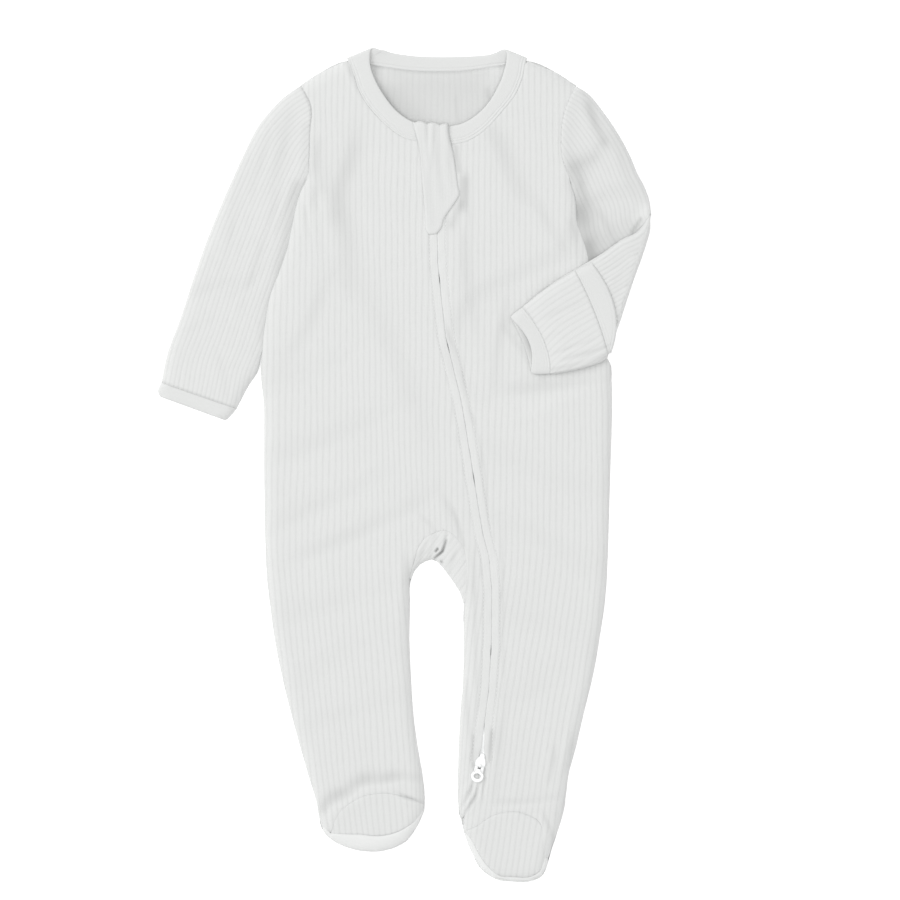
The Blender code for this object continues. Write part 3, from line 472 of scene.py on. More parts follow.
def knit_material(name, cloth, shade, settings):
    """Cotton knit. The stitches are V shapes in columns: the sine of the distance across gives the
    columns, and a sine along that is shifted by it gives the rows. Painted shade takes the colour
    from cloth towards shade in the grooves between the ribs, as does a slow cloudiness of random
    tone, and the hollow mark is painted shade on to the deep shade, for light lost between folds."""
    made, tree, shader = material(name, cloth, settings)
    knit = node(tree, "ShaderNodeUVMap", {"uv_map": "knit"})
    split = node(tree, "ShaderNodeSeparateXYZ", {}, {"Vector": knit.outputs["UV"]})
    long = node(tree, "ShaderNodeVectorMath", {"operation": "MULTIPLY", 1: (0.5, 0.13, 1.0)},
                {0: knit.outputs["UV"]})
    place = node(tree, "ShaderNodeTexCoord", {})
    at = {"across": split.outputs["X"], "along": split.outputs["Y"]}
    for mark in ("rib", "hollow"):
        at[mark] = node(tree, "ShaderNodeAttribute", {"attribute_name": mark}).outputs["Fac"]
    for noise, scale, detail, vector in [("fuzz", 1100.0, 3.0, place.outputs["Object"]),
                                         ("clouds", 28.0, 2.0, place.outputs["Object"]),
                                         ("broken", 1.0, 3.0, long.outputs[0])]:
        at[noise] = node(tree, "ShaderNodeTexNoise", {"Scale": scale, "Detail": detail},
                         {"Vector": vector}).outputs["Fac"]
    #   result, operation, and what goes in: the name of a result, or a number
    for result, operation, *inputs in [
        ("wale", "MULTIPLY", "across", np.pi / WALE), ("wale", "SINE", "wale"),
        ("column", "ABSOLUTE", "wale"), ("row", "MULTIPLY", "column", 2.4),
        ("row", "MULTIPLY_ADD", "along", 2.0 * np.pi / COURSE, "row"), ("row", "SINE", "row"),
        ("stitch", "MULTIPLY_ADD", "row", 0.35, "column"), ("fibre", "ADD", "stitch", "fuzz"),
        # the line steps are painted shade in the grooves between the ribs, broken up along them
        ("line", "MULTIPLY", "across", np.pi / RIB), ("line", "COSINE", "line"),
        ("line", "POWER", "line", 6.0), ("broken", "MULTIPLY", "broken", 0.62),
        ("line", "MULTIPLY", "line", "broken"), ("line", "MULTIPLY", "line", "rib"),
        ("fleck", "MULTIPLY_ADD", "fuzz", 0.22, "line"),
        ("share", "MULTIPLY_ADD", "clouds", 0.14, "fleck"),
    ]:
        numbers = {k: value for k, value in enumerate(inputs) if not isinstance(value, str)}
        names = {k: at[value] for k, value in enumerate(inputs) if isinstance(value, str)}
        at[result] = node(tree, "ShaderNodeMath", {"operation": operation, **numbers},
                          names).outputs[0]
    bump = node(tree, "ShaderNodeBump", {"Strength": 0.45, "Distance": 0.00012},
                {"Height": at["fibre"]})
    tree.links.new(bump.outputs["Normal"], shader.inputs["Normal"])
    # Painted shade in the grooves, and the cloudiness's random tone, mix cloth towards shade.
    colour = node(tree, "ShaderNodeMix",
                  {"data_type": "RGBA", 6: linear(cloth), 7: linear(shade)}, {0: at["share"]})
    # Painted shade in hollows, creases and stitched lines takes the colour on to the deep shade.
    dimmed = node(tree, "ShaderNodeMix", {"data_type": "RGBA", 7: linear(PAINTED_DEEP_SHADE)},
                  {0: at["hollow"], 6: colour.outputs[2]})
    tree.links.new(dimmed.outputs[2], shader.inputs["Base Color"])
    return made


# Combed cotton rib: soft and matt, with a faint sheen of loose fibre where it turns away.
COTTON = {"Roughness": 0.93, "IOR": 1.5, "Specular IOR Level": 0.3, "Sheen Weight": 0.18,
          "Sheen Roughness": 0.6}
ribbed_knit = knit_material("ribbed_cotton_knit", KNIT, KNIT_SHADE, COTTON)

left_outline = (
    [ARMHOLE_LEFT[-1]] + plan_of(LEFT_SIDE) + plan_of(LEFT_LEG) + LEFT_HEEL_SIDE
    + plan_of(LEFT_FOOT, 4) + [LEFT_HEEL[1]] + plan_of(LEFT_LEG, 2)[:GUSSET_LEG:-1]
    + [GUSSET[0][2:]]
)
right_outline = (
    [ARMHOLE_RIGHT[-1]] + plan_of(RIGHT_SIDE) + RIGHT_HEEL_SIDE + plan_of(RIGHT_FOOT, 4)[::-1]
    + [(38.2, -237.9)] + plan_of(STRIP)[:GUSSET_STRIP:-1]
)
fork = plan_of(GUSSET, 2)
#     painted shade for the light lost inside the neck opening: x, y, x, y, half width, share
NECK_PAINTED_SHADE = [
    (-23, 272, -14, 248, 6, 0.06), (-12, 246, 4, 232, 9, 0.18),
    (-20.5, 273.5, -19, 266, 3.2, 0.4), (54.8, 249.5, 55.5, 246.5, 2, 0.22),
    (66, 269.6, 64, 266, 1.8, 0.35), (-10, 262.5, 54, 262.5, 2.2, 0.1),
    (-5, 240, 50, 240, 16, 0.14), (0, 255, 45, 255, 10, 0.14),
    (33.6, 246, 35, 230, 1.4, 0.12),
]
body_edges = [left_outline, fork, right_outline, SHOULDER_LEFT, SHOULDER_RIGHT]

neck_back = np.array(NECK_BACK)
back_neckline = neck_back[:, 2:4] + unit(neck_back[:, 2:4] - neck_back[:, 0:2]) * BUTT
back_seams = [ARMHOLE_LEFT, ARMHOLE_RIGHT, LEFT_HEEL, RIGHT_HEEL, back_neckline]


def back_layer(plan):
    """The underside lies on the surface, turned up at the outline and hollow under the folds;
    the inside face is one wall above it, and is the one that shows, at the neck."""
    edge = 1.15 * (1.0 - rise(distance(plan, body_edges), BACK_EDGE))
    inward = ease(distance(plan, body_edges + back_seams) / 9.0)
    hollow = np.clip(creases(plan, BACK_HOLLOWS), 0.0, None) * inward
    across, groove = ribbing(plan[..., 0] - lean(plan), plan[..., 1])
    seam = 0.35 * bell(distance(plan, back_seams), SEAM_REACH)
    under = edge + (hollow + seam + 0.34 * groove) * (1.0 - edge / 1.15)
    inside = np.maximum(WALL + 0.9 * hollow - 0.12 * groove, under + 0.2)
    knit = np.stack([across, plan[..., 1]], axis=-1)
    # The last mark is painted shade inside the neck opening.
    return (lift(plan, inside), lift(plan, under), knit, np.full(under.shape, 0.6),
            painted_shade_along(plan, NECK_PAINTED_SHADE))


fork_point = fork[FORK]
left_edge = np.array([SHOULDER_LEFT[-1]] + ARMHOLE_LEFT[1:-1] + plan_of(LEFT_SIDE)
                     + plan_of(LEFT_LEG)[:3])
right_edge = np.array([SHOULDER_RIGHT[-1]] + ARMHOLE_RIGHT[1:-1]
                      + plan_of(RIGHT_SIDE)[:RIGHT_FORK + 1])
top_edge = np.array(SHOULDER_LEFT[::-1] + [tuple(p) for p in back_neckline] + SHOULDER_RIGHT)
low_edge = np.array([left_edge[-1], fork_point, right_edge[-1]])
apex = (fork_point[0] - low_edge[0, 0]) / (low_edge[-1, 0] - low_edge[0, 0])
left_count = int((fork_point[0] - low_edge[0, 0]) / BACK_ACROSS)
right_count = int((low_edge[-1, 0] - fork_point[0]) / BACK_ACROSS)
s = np.r_[np.linspace(0.0, apex, left_count, endpoint=False), np.linspace(apex, 1.0, right_count)]
t = np.linspace(0.0, 1.0, 88)


def edge_at(edge, axis, at):
    """Points of an edge at shares of its reach along one axis."""
    share = (edge[:, axis] - edge[0, axis]) / (edge[-1, axis] - edge[0, axis])
    return curve(share, edge, at)


left, right = edge_at(left_edge, 1, t)[:, None], edge_at(right_edge, 1, t)[:, None]
top = edge_at(top_edge, 0, s)[None]
low = np.stack([np.interp(s, (0.0, apex, 1.0), column) for column in low_edge.T], axis=-1)[None]
# Coons patch: both ruled surfaces together, less the one through the four corners.
S, T = s[None, :, None], t[:, None, None]
corners = ((1 - T) * ((1 - S) * top[:, :1] + S * top[:, -1:])
           + T * ((1 - S) * low[:, :1] + S * low[:, -1:]))
torso = (1 - S) * left + S * right + (1 - T) * top + T * low - corners


def leg_grid(outer, inner, count, step):
    """Rows between two edges of a leg, each edge evenly spaced from the fork to the heel."""
    rows = int(knots_of(np.asarray(outer))[-1] / step)
    return between(resample(outer, rows), resample(inner, rows), np.linspace(0.0, 1.0, count))


left_leg_back = leg_grid(
    plan_of(LEFT_LEG)[2:] + [LEFT_HEEL[0]],
    fork[FORK::-1] + plan_of(LEFT_LEG, 2)[4:] + [LEFT_HEEL[1]], left_count + 1, 3.7)
right_leg_back = leg_grid(
    plan_of(RIGHT_SIDE)[RIGHT_FORK:] + [RIGHT_HEEL[1]],
    fork[FORK:] + plan_of(STRIP)[7:-3] + [RIGHT_HEEL[0]], right_count, 3.7)[:, ::-1]
back = sewn("back_panel_knit", [back_layer(g) for g in (torso, left_leg_back, right_leg_back)],
            ribbed_knit, "back_panel", flat=(0.236, 0.50), area=0.088)

# ---- fronts: two pieces of ribbed knit that meet at the zip, which runs off centre from the
# neck to the right ankle. Their edges at the zip are turned under and stitched down. ----

#   free edge x, y, seam edge x, y, height of the middle of the wall
NECK_FRONT_LEFT = [
    (20.9, 224.8, 20.9, 213.5, 5), (9.7, 226.8, 8, 215.7, 5),
    (1.7, 230.5, -1.3, 218, 5), (-7, 237.2, -12.4, 225.8, 5),
    (-14.4, 246.6, -22.8, 236.3, 5), (-20.4, 257.3, -30.5, 247.9, 4.9),
    (-23.5, 266.7, -34.5, 259, 4.5), (-24.3, 273.4, -37.2, 267, 4),
]
NECK_FRONT_RIGHT = [
    (21.5, 224.8, 21.5, 213.3, 5), (29.8, 226, 31.2, 213.7, 5),
    (37.9, 227.8, 41.9, 215.9, 5), (46.6, 232.8, 53.9, 223.8, 5),
    (54.6, 240.5, 64.7, 235.5, 5), (60.6, 249.9, 73.4, 246.6, 4.9),
    (65.3, 260.6, 78.4, 258, 4.5), (67.2, 270, 80, 266.7, 4),
]
CORNER_LEFT, CORNER_RIGHT = (-39.8, 268.8), (82.2, 268.2)
#   y, x, half of the opening
ZIP_LINE = [
    (213.4, 21.2, 0.012), (154.1, 21.4, 0.012), (135.3, 21.6, 0.012), (113.2, 23.8, 0.012),
    (84.4, 27.1, 0.012), (59.6, 33.2, 0.012), (42.9, 37.2, 0.012), (23.5, 40.5, 0.012),
    (4, 43.6, 0.012), (-20.8, 47.6, 0.012), (-46.2, 51.7, 0.012), (-62.3, 55.9, 0.012),
    (-84.4, 57.8, 0.012), (-117.9, 57.6, 0.012), (-150.8, 55.7, 0.012), (-172.9, 52.9, 0.012),
    (-177, 52.6, 0.3), (-182, 52.2, 0.6), (-190.3, 51.6, 0.9), (-194, 51.2, 1.7),
    (-203.5, 49.9, 2),
    (-206.5, 49.4, 0.012), (-221.8, 46.6, 0.012), (-232.5, 41.2, 0.012), (-237.9, 37.5, 0.012),
]
ZIP_TOP, TAPE_END = 212.0, -201.3
SLIDER_LINE = [(50.9, -196.5), (49.2, -203.5)]
SLIDER_PRESS = 1.1      # how far the slider holds the cloth down
LEFT_FOOT_TIP, RIGHT_FOOT_TIP = (-54.3, -242.9), (95.4, -264.2)
LEFT_ANKLE = [(-59.6, -226), (-46, -221.5), (-25.1, -216), (-5, -215), (12.7, -218.5)]
RIGHT_ANKLE = [(38.2, -237.9), (50.5, -230.8), (66.7, -227), (86.8, -228), (106, -232)]
FOREARM_MIDDLE = [(74, 79.7), (112, 98), (140, 110), (150, 140)]
ACROSS = 0.7            # size of the mesh across the ribs, and along them
ALONG = 3.0
GROOVE = 0.11           # depth of a groove
SEAM_DIP = 0.16         # how deep a seam pulls the cloth in
CREASE_PAINTED_SHADE = 0.34     # how much painted deep shade a trough of 1 mm takes
EDGE_TOP = 1.7          # the front's edge lies on the back's
CROWN = 4.3
ROLL = 9.0              # width of the rolled edge
PRESS = 1.8             # how far the folded sleeve presses the front down
PRESS_REACH = (36.0, 50.0)
PLACKET = 5.5           # from the zip to its row of stitches
TURN = 0.16             # how far the edge at the zip rolls under
ZIP_PAINTED_SHADE = 0.26        # painted shade in its stitched lines
ZIP_SPOTS = (123.3, 78.4, -9.4, -125.3)     # where the edges part a little
ZIP_PART = 0.26
SIDE_LIFT = 0.46        # how full the body's edge stays where a sleeve lies against it
CONTACT = (60.0, 76.0)  # the sleeves leave the body between these heights
STRIP_COLUMNS = 41
RIGHT_COLUMNS = 170
GUSSET_POINTS = 22      # along the gusset's seam with the left front
#   x, y, x, y, half width, depth; a trough is negative
FRONT_CREASES = [
    (-36, 212, -44, 172, 6.5, -0.6), (-44, 176, -38, 128, 7.5, -0.5),
    (-51, 123, -71, 84, 6, -0.4), (-39.2, 270, -31.8, 252, 1.6, -0.5),
    (-68, 172.9, -64.3, 157, 2, -0.7), (-62, 182, -55, 150, 3.5, -0.5),
    (-58, 206, -60, 180, 3, -0.4), (40.5, 190, 43, 168, 2.6, -0.4),
    (41, 146, 45, 100, 4.5, -0.4), (113, 158, 114.9, 143, 2.2, -0.6),
    (90, 170, 103, 150, 4, -0.3), (58, 220, 76, 188, 7, -0.5),
    (66, 102, 60, 60, 3.6, -0.45), (78, 50, 128, 58, 5, -0.45),
    (-20, 110, 8, 30, 9, -0.2), (-78, 8, -14, 34, 7, -0.2),
    (-80, -40, -22, -8, 6.5, -0.22), (-60, -58, 2, -28, 6, -0.32),
    (-84, 58, -30, 76, 8, -0.1), (60, 10, 122, -18, 9, -0.1),
    (64, -40, 118, -64, 9, -0.1), (-80, -104, -14, -80, 8.5, -0.14),
    (-70, -140, -14, -114, 9, -0.09), (-62, -176, -8, -156, 7, -0.12),
    (68, -98, 112, -116, 9, -0.08), (66, -156, 104, -140, 8, -0.09),
    (28, 90, 36, 72, 1.5, -0.45), (38.2, 60, 43.4, 36, 1.6, -0.4),
    (45, 32, 47, 24, 1.4, -0.45), (50.5, 12, 55, -24, 1.8, -0.35),
    (46.5, -70, 48, -140, 1.7, -0.35), (65.5, -60, 66.5, -130, 1.7, -0.3),
    (32.5, -32.2, 39.2, -52, 1.7, -0.6), (27, -26, 35, -46, 2.4, -0.5),
    (12, -36, 20, -45, 2.2, -0.4), (0.5, -66, 1.7, -95, 2.4, -0.45),
    (112.2, -184, 108.2, -201, 2, -0.6), (100.2, -193, 97.5, -208, 2.4, -0.5),
    (49.9, -214, 46, -224, 1.2, -0.7), (46, -224, 38.5, -236.5, 1.3, -0.7),
    (44.6, -215.5, 39.5, -226.5, 1.3, -1), (53.5, -211, 52, -223, 1.2, -0.65),
    (41, -152, 43.5, -182, 1.8, -0.4), (66, -172, 61, -215, 3, -0.35),
    (-58, -231.5, -46.6, -223.1, 4.2, -0.7), (-46.6, -223.1, -30, -213.4, 4.6, -0.62),
    (-30, -213.4, -13.1, -209.7, 4.4, -0.6), (-13.1, -209.7, 5, -210.4, 3.6, -0.55),
    (-2, -221.4, 13, -227.2, 1.5, -1), (66, -226, 96, -224, 2.6, -0.3),
    (94, -236, 99, -252, 1.6, -0.5), (-54, -232, -50, -246, 1.5, -0.4),
]
#     painted shade beside the guard, the zip and under the slider: x, y, x, y, half width, share
FRONT_PAINTED_SHADE = [
    (34, 212, 35.5, 196, 1.6, 0.28), (39.6, 190, 38.2, 172, 3.4, 0.26),
    (37, 174, 31, 160, 2.6, 0.22), (10.4, 210, 12.6, 172, 1.3, 0.16),
    (72, 96, 100, 122, 4, 0.14), (66, 92, 92, 58, 3, 0.12),
    (-59, 214, -56, 184, 5, 0.1), (57.5, -178, 56, -198, 1.3, 0.45),
    (45.4, -182, 44.6, -200.5, 0.9, 0.3), (33.8, 236, 31.5, 214, 1.2, 0.25),
    (49.2, -203.6, 49.1, -204, 1.4, 0.8), (44.8, -201.8, 57, -202.4, 0.8, 0.3),
]
FRONT_SEAMS = [
    ARMHOLE_LEFT, ARMHOLE_RIGHT, plan_of(GUSSET), plan_of(LEFT_FOOT), plan_of(RIGHT_FOOT),
    plan_of(LEFT_FOOT, 2), plan_of(RIGHT_FOOT, 2),
    [(x, y - 2.6) for x, y in SHOULDER_LEFT], [(x, y - 2.6) for x, y in SHOULDER_RIGHT],
    plan_of(NECK_FRONT_LEFT, 2), plan_of(NECK_FRONT_RIGHT, 2),
    [(49.4, -206.5), (46.6, -221.8), (41.2, -232.5), (37.5, -237.9)],
]


def refine(rows, step):
    """A finer table through the same rows, with as many steps in each gap as its length needs."""
    rows = np.asarray(rows, float)
    knots = knots_of(rows)
    at = [np.linspace(a, b, int(np.ceil((b - a) / step)), endpoint=False)
          for a, b in zip(knots[:-1], knots[1:])]
    return curve(knots, rows, np.concatenate(at + [knots[-1:]]))


def painted_crease_shade(points, table):
    """Painted shade in a table's creases, by how deep they are."""
    return np.clip(-creases(points, table), 0.0, None) * CREASE_PAINTED_SHADE


def pressed(points):
    """How fully the folded forearm presses on each point: 1 under it, 0 well outside."""
    near = distance(points, [FOREARM_MIDDLE])
    return ease((PRESS_REACH[1] - near) / (PRESS_REACH[1] - PRESS_REACH[0]))


def zip_x(y):
    """Where the closing line of the zip is, and half of its opening, at a height y."""
    table = np.array(ZIP_LINE)[::-1]
    parted = ZIP_PART * sum(bell(y - spot, 3.0) for spot in ZIP_SPOTS)
    return (np.interp(y, table[:, 0], table[:, 1]),
            np.interp(y, table[:, 0], table[:, 2]) + parted)


def zip_edge(y, side):
    """Edge of a front at the zip: side -1 for the left front, 1 for the right."""
    middle, half = zip_x(y)
    return np.stack([middle + side * half, y], axis=-1)


def from_zip(points):
    """Distance from the edge at the zip, and large above and below the zip."""
    middle, half = zip_x(points[..., 1])
    gap = np.abs(points[..., 0] - middle) - half
    off_end = np.clip(points[..., 1] - ZIP_TOP - 2.0, 0.0, None)
    off_end = off_end + np.clip(TAPE_END + 1.2 - points[..., 1], 0.0, None)
    return gap + 3.0 * off_end


def held_up(y):
    """How much a sleeve beside it holds up an edge at a height y: 1 from the underarm down."""
    return ease((y - CONTACT[0]) / (CONTACT[1] - CONTACT[0])) * ease((202.0 - y) / 10.0)


def front_height(points):
    """Top of the front without its ribs: the rolled edge, the creases, the dips and puckers at
    the seams, and at the zip a rolled edge, a stitched line and a slight waviness."""
    gap = distance(points, body_edges)
    corner = sum(bell(distance(points, [[at, at]]), 6.0) for at in (CORNER_LEFT, CORNER_RIGHT))
    held = SIDE_LIFT * np.maximum(held_up(points[..., 1]), corner)
    inward = 1.0 - (1.0 - rise(gap, ROLL)) * (1.0 - held)
    free = 1.0 - 0.8 * pressed(points)
    height = EDGE_TOP + (CROWN - PRESS * pressed(points)) * inward
    height = height + creases(points, FRONT_CREASES) * inward * free
    seam = distance(points, FRONT_SEAMS)
    run = points[..., 1] + 0.6 * points[..., 0]
    pucker = 0.12 * np.sin(run / 1.15) * np.exp(-seam / 2.6) * (0.6 + 0.4 * np.sin(run / 7.0))
    height = height - (SEAM_DIP * bell(seam, SEAM_REACH) + pucker) * inward
    gap = from_zip(points)
    y = points[..., 1]
    side = np.sign(points[..., 0] - zip_x(y)[0])
    ripple = np.sin(y / 2.9 + 1.2 * side + 0.8 * np.sin(y / 11.0)) * (0.6 + 0.4 * np.sin(y / 17.0))
    uneven = 0.75 + 0.4 * np.sin(y / 13.0 + side) * np.sin(y / 5.1)
    height = height - uneven * (TURN * bell(gap, 0.7) + 0.34 * bell(gap - PLACKET, 0.6))
    height = height - SLIDER_PRESS * bell(distance(points, [SLIDER_LINE]), 5.5)
    return height + 0.24 * ripple * bell(gap - 3.2, 2.6) * inward * free


def front_layer(plan):
    """Outer face with its ribs, which end at the zip's stitched line, and a plain inner face."""
    plain = front_height(plan)
    across, groove = ribbing(plan[..., 0] - lean(plan), plan[..., 1])
    rib = ease((from_zip(plan) - PLACKET + 0.6) / 2.0)
    edge = ease(distance(plan, body_edges) / 2.5)
    top = plain - GROOVE * groove * rib * edge
    inner = np.maximum(plain - WALL, EDGE_TOP - 0.25)
    knit = np.stack([across, plan[..., 1]], axis=-1)
    # Painted shade in the creases and hollows, and unevenly along the zip's stitched lines.
    uneven = 0.6 + 0.4 * np.sin(plan[..., 1] / 9.0 + across)
    stitched = bell(from_zip(plan) - PLACKET, 0.6) * uneven
    trough = painted_crease_shade(plan, FRONT_CREASES) + painted_shade_along(plan, FRONT_PAINTED_SHADE) + ZIP_PAINTED_SHADE * stitched
    return (lift(plan, top), lift(plan, np.minimum(inner, top - 0.2)), knit, rib, trough)


def neck_edge(table, corner):
    """Edge of a front along the neck binding, from the shoulder to the zip."""
    rows = np.array(table)[::-1]
    return np.concatenate([[corner], rows[:, 2:4] + unit(rows[:, 2:4] - rows[:, 0:2]) * BUTT])


def front_rows(armhole, side, table, corner, hand):
    """Outer edge and zip edge of a front, row by row, finer than the tables."""
    outer = np.array(armhole[:-1] + plan_of(side))
    zip_rows = zip_edge(np.array([row[2] for row in side]), hand)
    rows = np.concatenate([outer, np.concatenate([neck_edge(table, corner), zip_rows])], axis=1)
    rows = np.concatenate([resample(rows[:2], 6, 1.8)[:-1], refine(rows[1:9], 1.6)[:-1],
                           refine(rows[8:], ALONG)])
    low = rows[:, 3] < ZIP_TOP
    rows[low, 2:4] = zip_edge(rows[low, 3], hand)
    return rows


def to_shoulder(grid, shoulder):
    """A front's first rows, bowed up to the shoulder seam, and less at the armhole."""
    seam = np.array(sorted(shoulder))
    line = grid[0]
    up = np.interp(line[:, 0], seam[:, 0], seam[:, 1]) - 0.15 - line[:, 1]
    up = up * ease(np.abs(line[:, 0] - shoulder[-1][0]) / 5.0)
    down = np.linalg.norm(grid - line, axis=-1)
    bowed = grid.copy()
    bowed[..., 1] += up * ease(1.0 - down / 9.0)
    return bowed


leg_count = int((LEFT_LEG[0][2] - LEFT_LEG[0][0]) / ACROSS)
strip_shares = np.linspace(0.0, 1.0, STRIP_COLUMNS)
leg_top = between([LEFT_LEG[0][:2]], [LEFT_LEG[0][2:]], np.linspace(0.0, 1.0, leg_count + 1))[0]
strip_top = between([STRIP[0][:2]], [zip_edge(STRIP[0][2], -1)], strip_shares)[0]
gusset_top = resample(plan_of(GUSSET)[GUSSET_LEG:GUSSET_STRIP + 1], GUSSET_POINTS)
split = np.concatenate([leg_top[:-1], gusset_top, strip_top[1:]])
torso_shares = (split[:, 0] - split[0, 0]) / (split[-1, 0] - split[0, 0])
rows = front_rows(ARMHOLE_LEFT, LEFT_SIDE, NECK_FRONT_LEFT, CORNER_LEFT, -1)
torso = to_shoulder(between(rows[:, 0:2], rows[:, 2:4], torso_shares), SHOULDER_LEFT)
down = 1.0 - (1.0 - np.linspace(0.0, 1.0, 14)) ** 1.6
torso = np.concatenate([torso, torso[-1] + (split - torso[-1]) * down[1:, None, None]])


def leg_end(last_row, ankle, side_point, tip, seam, first):
    """Rows from the leg's last one over the ankle to the seam with the instep."""
    seam = np.array(seam)
    end = np.concatenate([[tip], seam] if first else [seam, [tip]])
    count = len(last_row)
    above = (resample(ankle, len(end)) + end) / 2
    above[0 if first else -1] = side_point
    places = np.linspace(0.0, 1.0, len(end))
    at = np.linspace(0.0, 1.0, count)
    rows = [last_row, resample(ankle, count), curve(places, above, at), curve(places, end, at)]
    return refine(np.array(rows), 2.2)[1:]


rows = refine(LEFT_LEG, ALONG)
leg = between(rows[:, 0:2], rows[:, 2:4], np.linspace(0.0, 1.0, leg_count + 1))
leg = np.concatenate([leg, leg_end(leg[-1], LEFT_ANKLE, LEFT_HEEL_SIDE[2], LEFT_FOOT_TIP,
                                   plan_of(LEFT_FOOT), True)])
rows = refine(STRIP, 2.4)
strip = between(rows[:, 0:2], zip_edge(rows[:, 2], -1), strip_shares)
left_side_line, left_leg_end = torso[:, 0], leg[-1]
fork_line = np.concatenate([leg[::-1, -1], gusset_top, strip[:, 0]])
front_left = sewn("front_left_knit", [front_layer(g) for g in (torso, leg, strip)], ribbed_knit,
                  "front_panel_left", flat=(0.16, 0.52), area=0.053)

rows = front_rows(ARMHOLE_RIGHT, RIGHT_SIDE, NECK_FRONT_RIGHT, CORNER_RIGHT, 1)
half = between(rows[:, 2:4], rows[:, 0:2], np.linspace(0.0, 1.0, RIGHT_COLUMNS))
half = to_shoulder(half, SHOULDER_RIGHT)
half = np.concatenate([half, leg_end(half[-1], RIGHT_ANKLE, RIGHT_HEEL_SIDE[2], RIGHT_FOOT_TIP,
                                     plan_of(RIGHT_FOOT), False)])
right_side_line, right_leg_end = half[:, -1], half[-1]
front_right = sewn("front_right_knit", [front_layer(half)], ribbed_knit, "front_panel_right",
                   flat=(0.12, 0.53), area=0.04)

# ---- gusset: a small kite of the same knit let in at the fork, so that the legs can spread.
# It is sewn to the left front all round, and its free side is the edge of the fork. ----

def snapped(points, lines, reach=0.7):
    """Points that are within reach of a polyline, moved onto it."""
    offset = offset_from(points, lines)
    near = np.linalg.norm(offset, axis=-1, keepdims=True) < reach
    return points - np.where(near, offset, 0.0)


gusset = np.array(GUSSET)
# It starts and ends a little inside its own two corners, where its sides would meet.
lip_rows = refine(np.concatenate([[gusset[0] * 0.98 + gusset[1] * 0.02], gusset[1:-1],
                                  [gusset[-1] * 0.9 + gusset[-2] * 0.1]]), 0.6)
lip_rows[:, 0:2] = snapped(lip_rows[:, 0:2], [fork_line])
lip_run = unit(lip_rows[:, 2:4] - lip_rows[:, 0:2])
lip = between(lip_rows[:, 0:2] + lip_run * BUTT, lip_rows[:, 2:4], np.linspace(0.0, 1.0, 44))
GUSSET_CREASES = [
    (27.1, -52.6, 27.4, -46, 1.2, -0.6), (10, -62, 14, -55, 1.6, -0.4),
    (34, -60, 30, -70, 1.8, -0.4), (16, -60, 20, -50, 2, -0.3),
]
#   where its cloth is pinched into a deep fold, with a small pit on each side of it
GUSSET_SLITS = [
    [(19.8, -62.8), (24.8, -58.4), (27.4, -51.2)], [(21.5, -56.9), (20.5, -58.2)],
    [(24.1, -65.3), (24.5, -66.1)],
]
SLIT_DEPTH = 2.6
SLIT_MIDDLE = (24.4, -58.9)


def gusset_layer(plan):
    """As the front beside it, with its own sharp folds and its ribs slanting up to the right."""
    gap = distance(plan, body_edges)
    plain = front_height(plan) + creases(plan, GUSSET_CREASES) * rise(gap, 5.0)
    slant = 0.8 * plan[..., 0] - 0.6 * plan[..., 1]
    across, groove = ribbing(slant, plan[..., 1])
    deep = 0.3 + 0.7 * bell(distance(plan, [[SLIT_MIDDLE, SLIT_MIDDLE]]), 6.0)
    slit = deep * bell(distance(plan, GUSSET_SLITS), 0.8)
    top = np.maximum(plain - 0.2 * groove * ease(gap / 2.5) - SLIT_DEPTH * slit, EDGE_TOP)
    inner = np.minimum(np.maximum(plain - WALL, EDGE_TOP - 0.25), top - 0.2)
    # The last mark is painted shade in its creases and, deeper, along its slits, which are also
    # cut in as folds.
    return (lift(plan, top), lift(plan, inner), np.stack([across, plan[..., 1]], axis=-1),
            np.full(gap.shape, 0.6), painted_crease_shade(plan, GUSSET_CREASES) + slit)


sewn("gusset_knit", [gusset_layer(lip.transpose(1, 0, 2))], ribbed_knit, "crotch_gusset",
     flat=(0.045, 0.05), area=0.0009)

# ---- sleeves: tubes of the same knit, sewn in at the armholes and lying flat. The left one lies
# straight. The right one is folded at the elbow, so that its forearm lies back on the front. ----

#   outer x, y, underarm x, y, bow towards +X
LEFT_SLEEVE = [
    (-83.4, 243.9, -71.2, 180.9, 3), (-96.1, 229.8, -75.2, 165.5, 2),
    (-106.9, 210.4, -79.9, 143.4, 1), (-114.9, 193, -85.3, 128, 0),
    (-122.9, 174.9, -91.3, 111.9, 0), (-131.7, 153.4, -94.4, 95.1, 0),
    (-141.7, 125.3, -96.5, 76.4, 0), (-151.1, 96.5, -98.9, 61.9, 0),
    (-159.5, 73.7, -105.5, 51.5, 0), (-163.5, 54.3, -113.2, 36.8, 0),
]
RIGHT_SLEEVE = [
    (125, 245.2, 114.5, 175.5, -2), (134.3, 233.2, 115.6, 162.1, -1),
    (142.4, 221.1, 120.9, 146.7, 0), (149.7, 207.7, 124.6, 128, 0),
    (155.2, 194.8, 126.6, 109.9, 0), (160.4, 184.8, 129.2, 89.8, 0),
    (163.5, 175.6, 132.6, 77, 0), (164.5, 167.4, 135.3, 74.6, 0),
]
RIGHT_FOREARM = [
    (154.5, 155, 134.6, 70.5, 0), (143.5, 149.5, 130.5, 68, 0),
    (132.5, 141.5, 124.5, 65.8, 0), (121.5, 134.8, 118, 63.8, 0),
    (110.5, 128.4, 111.5, 62.3, 0), (99.5, 121.6, 105.5, 61.2, 1),
    (88.5, 113.8, 100.5, 60.4, 3), (78, 104.8, 96.8, 60.4, 5),
]
RIGHT_CUFF = [
    (78.1, 104.88, 96.9, 60.48, 5), (73.5, 101.6, 90, 60, 3.5), (70.2, 98.6, 84.4, 60.4, 2),
]
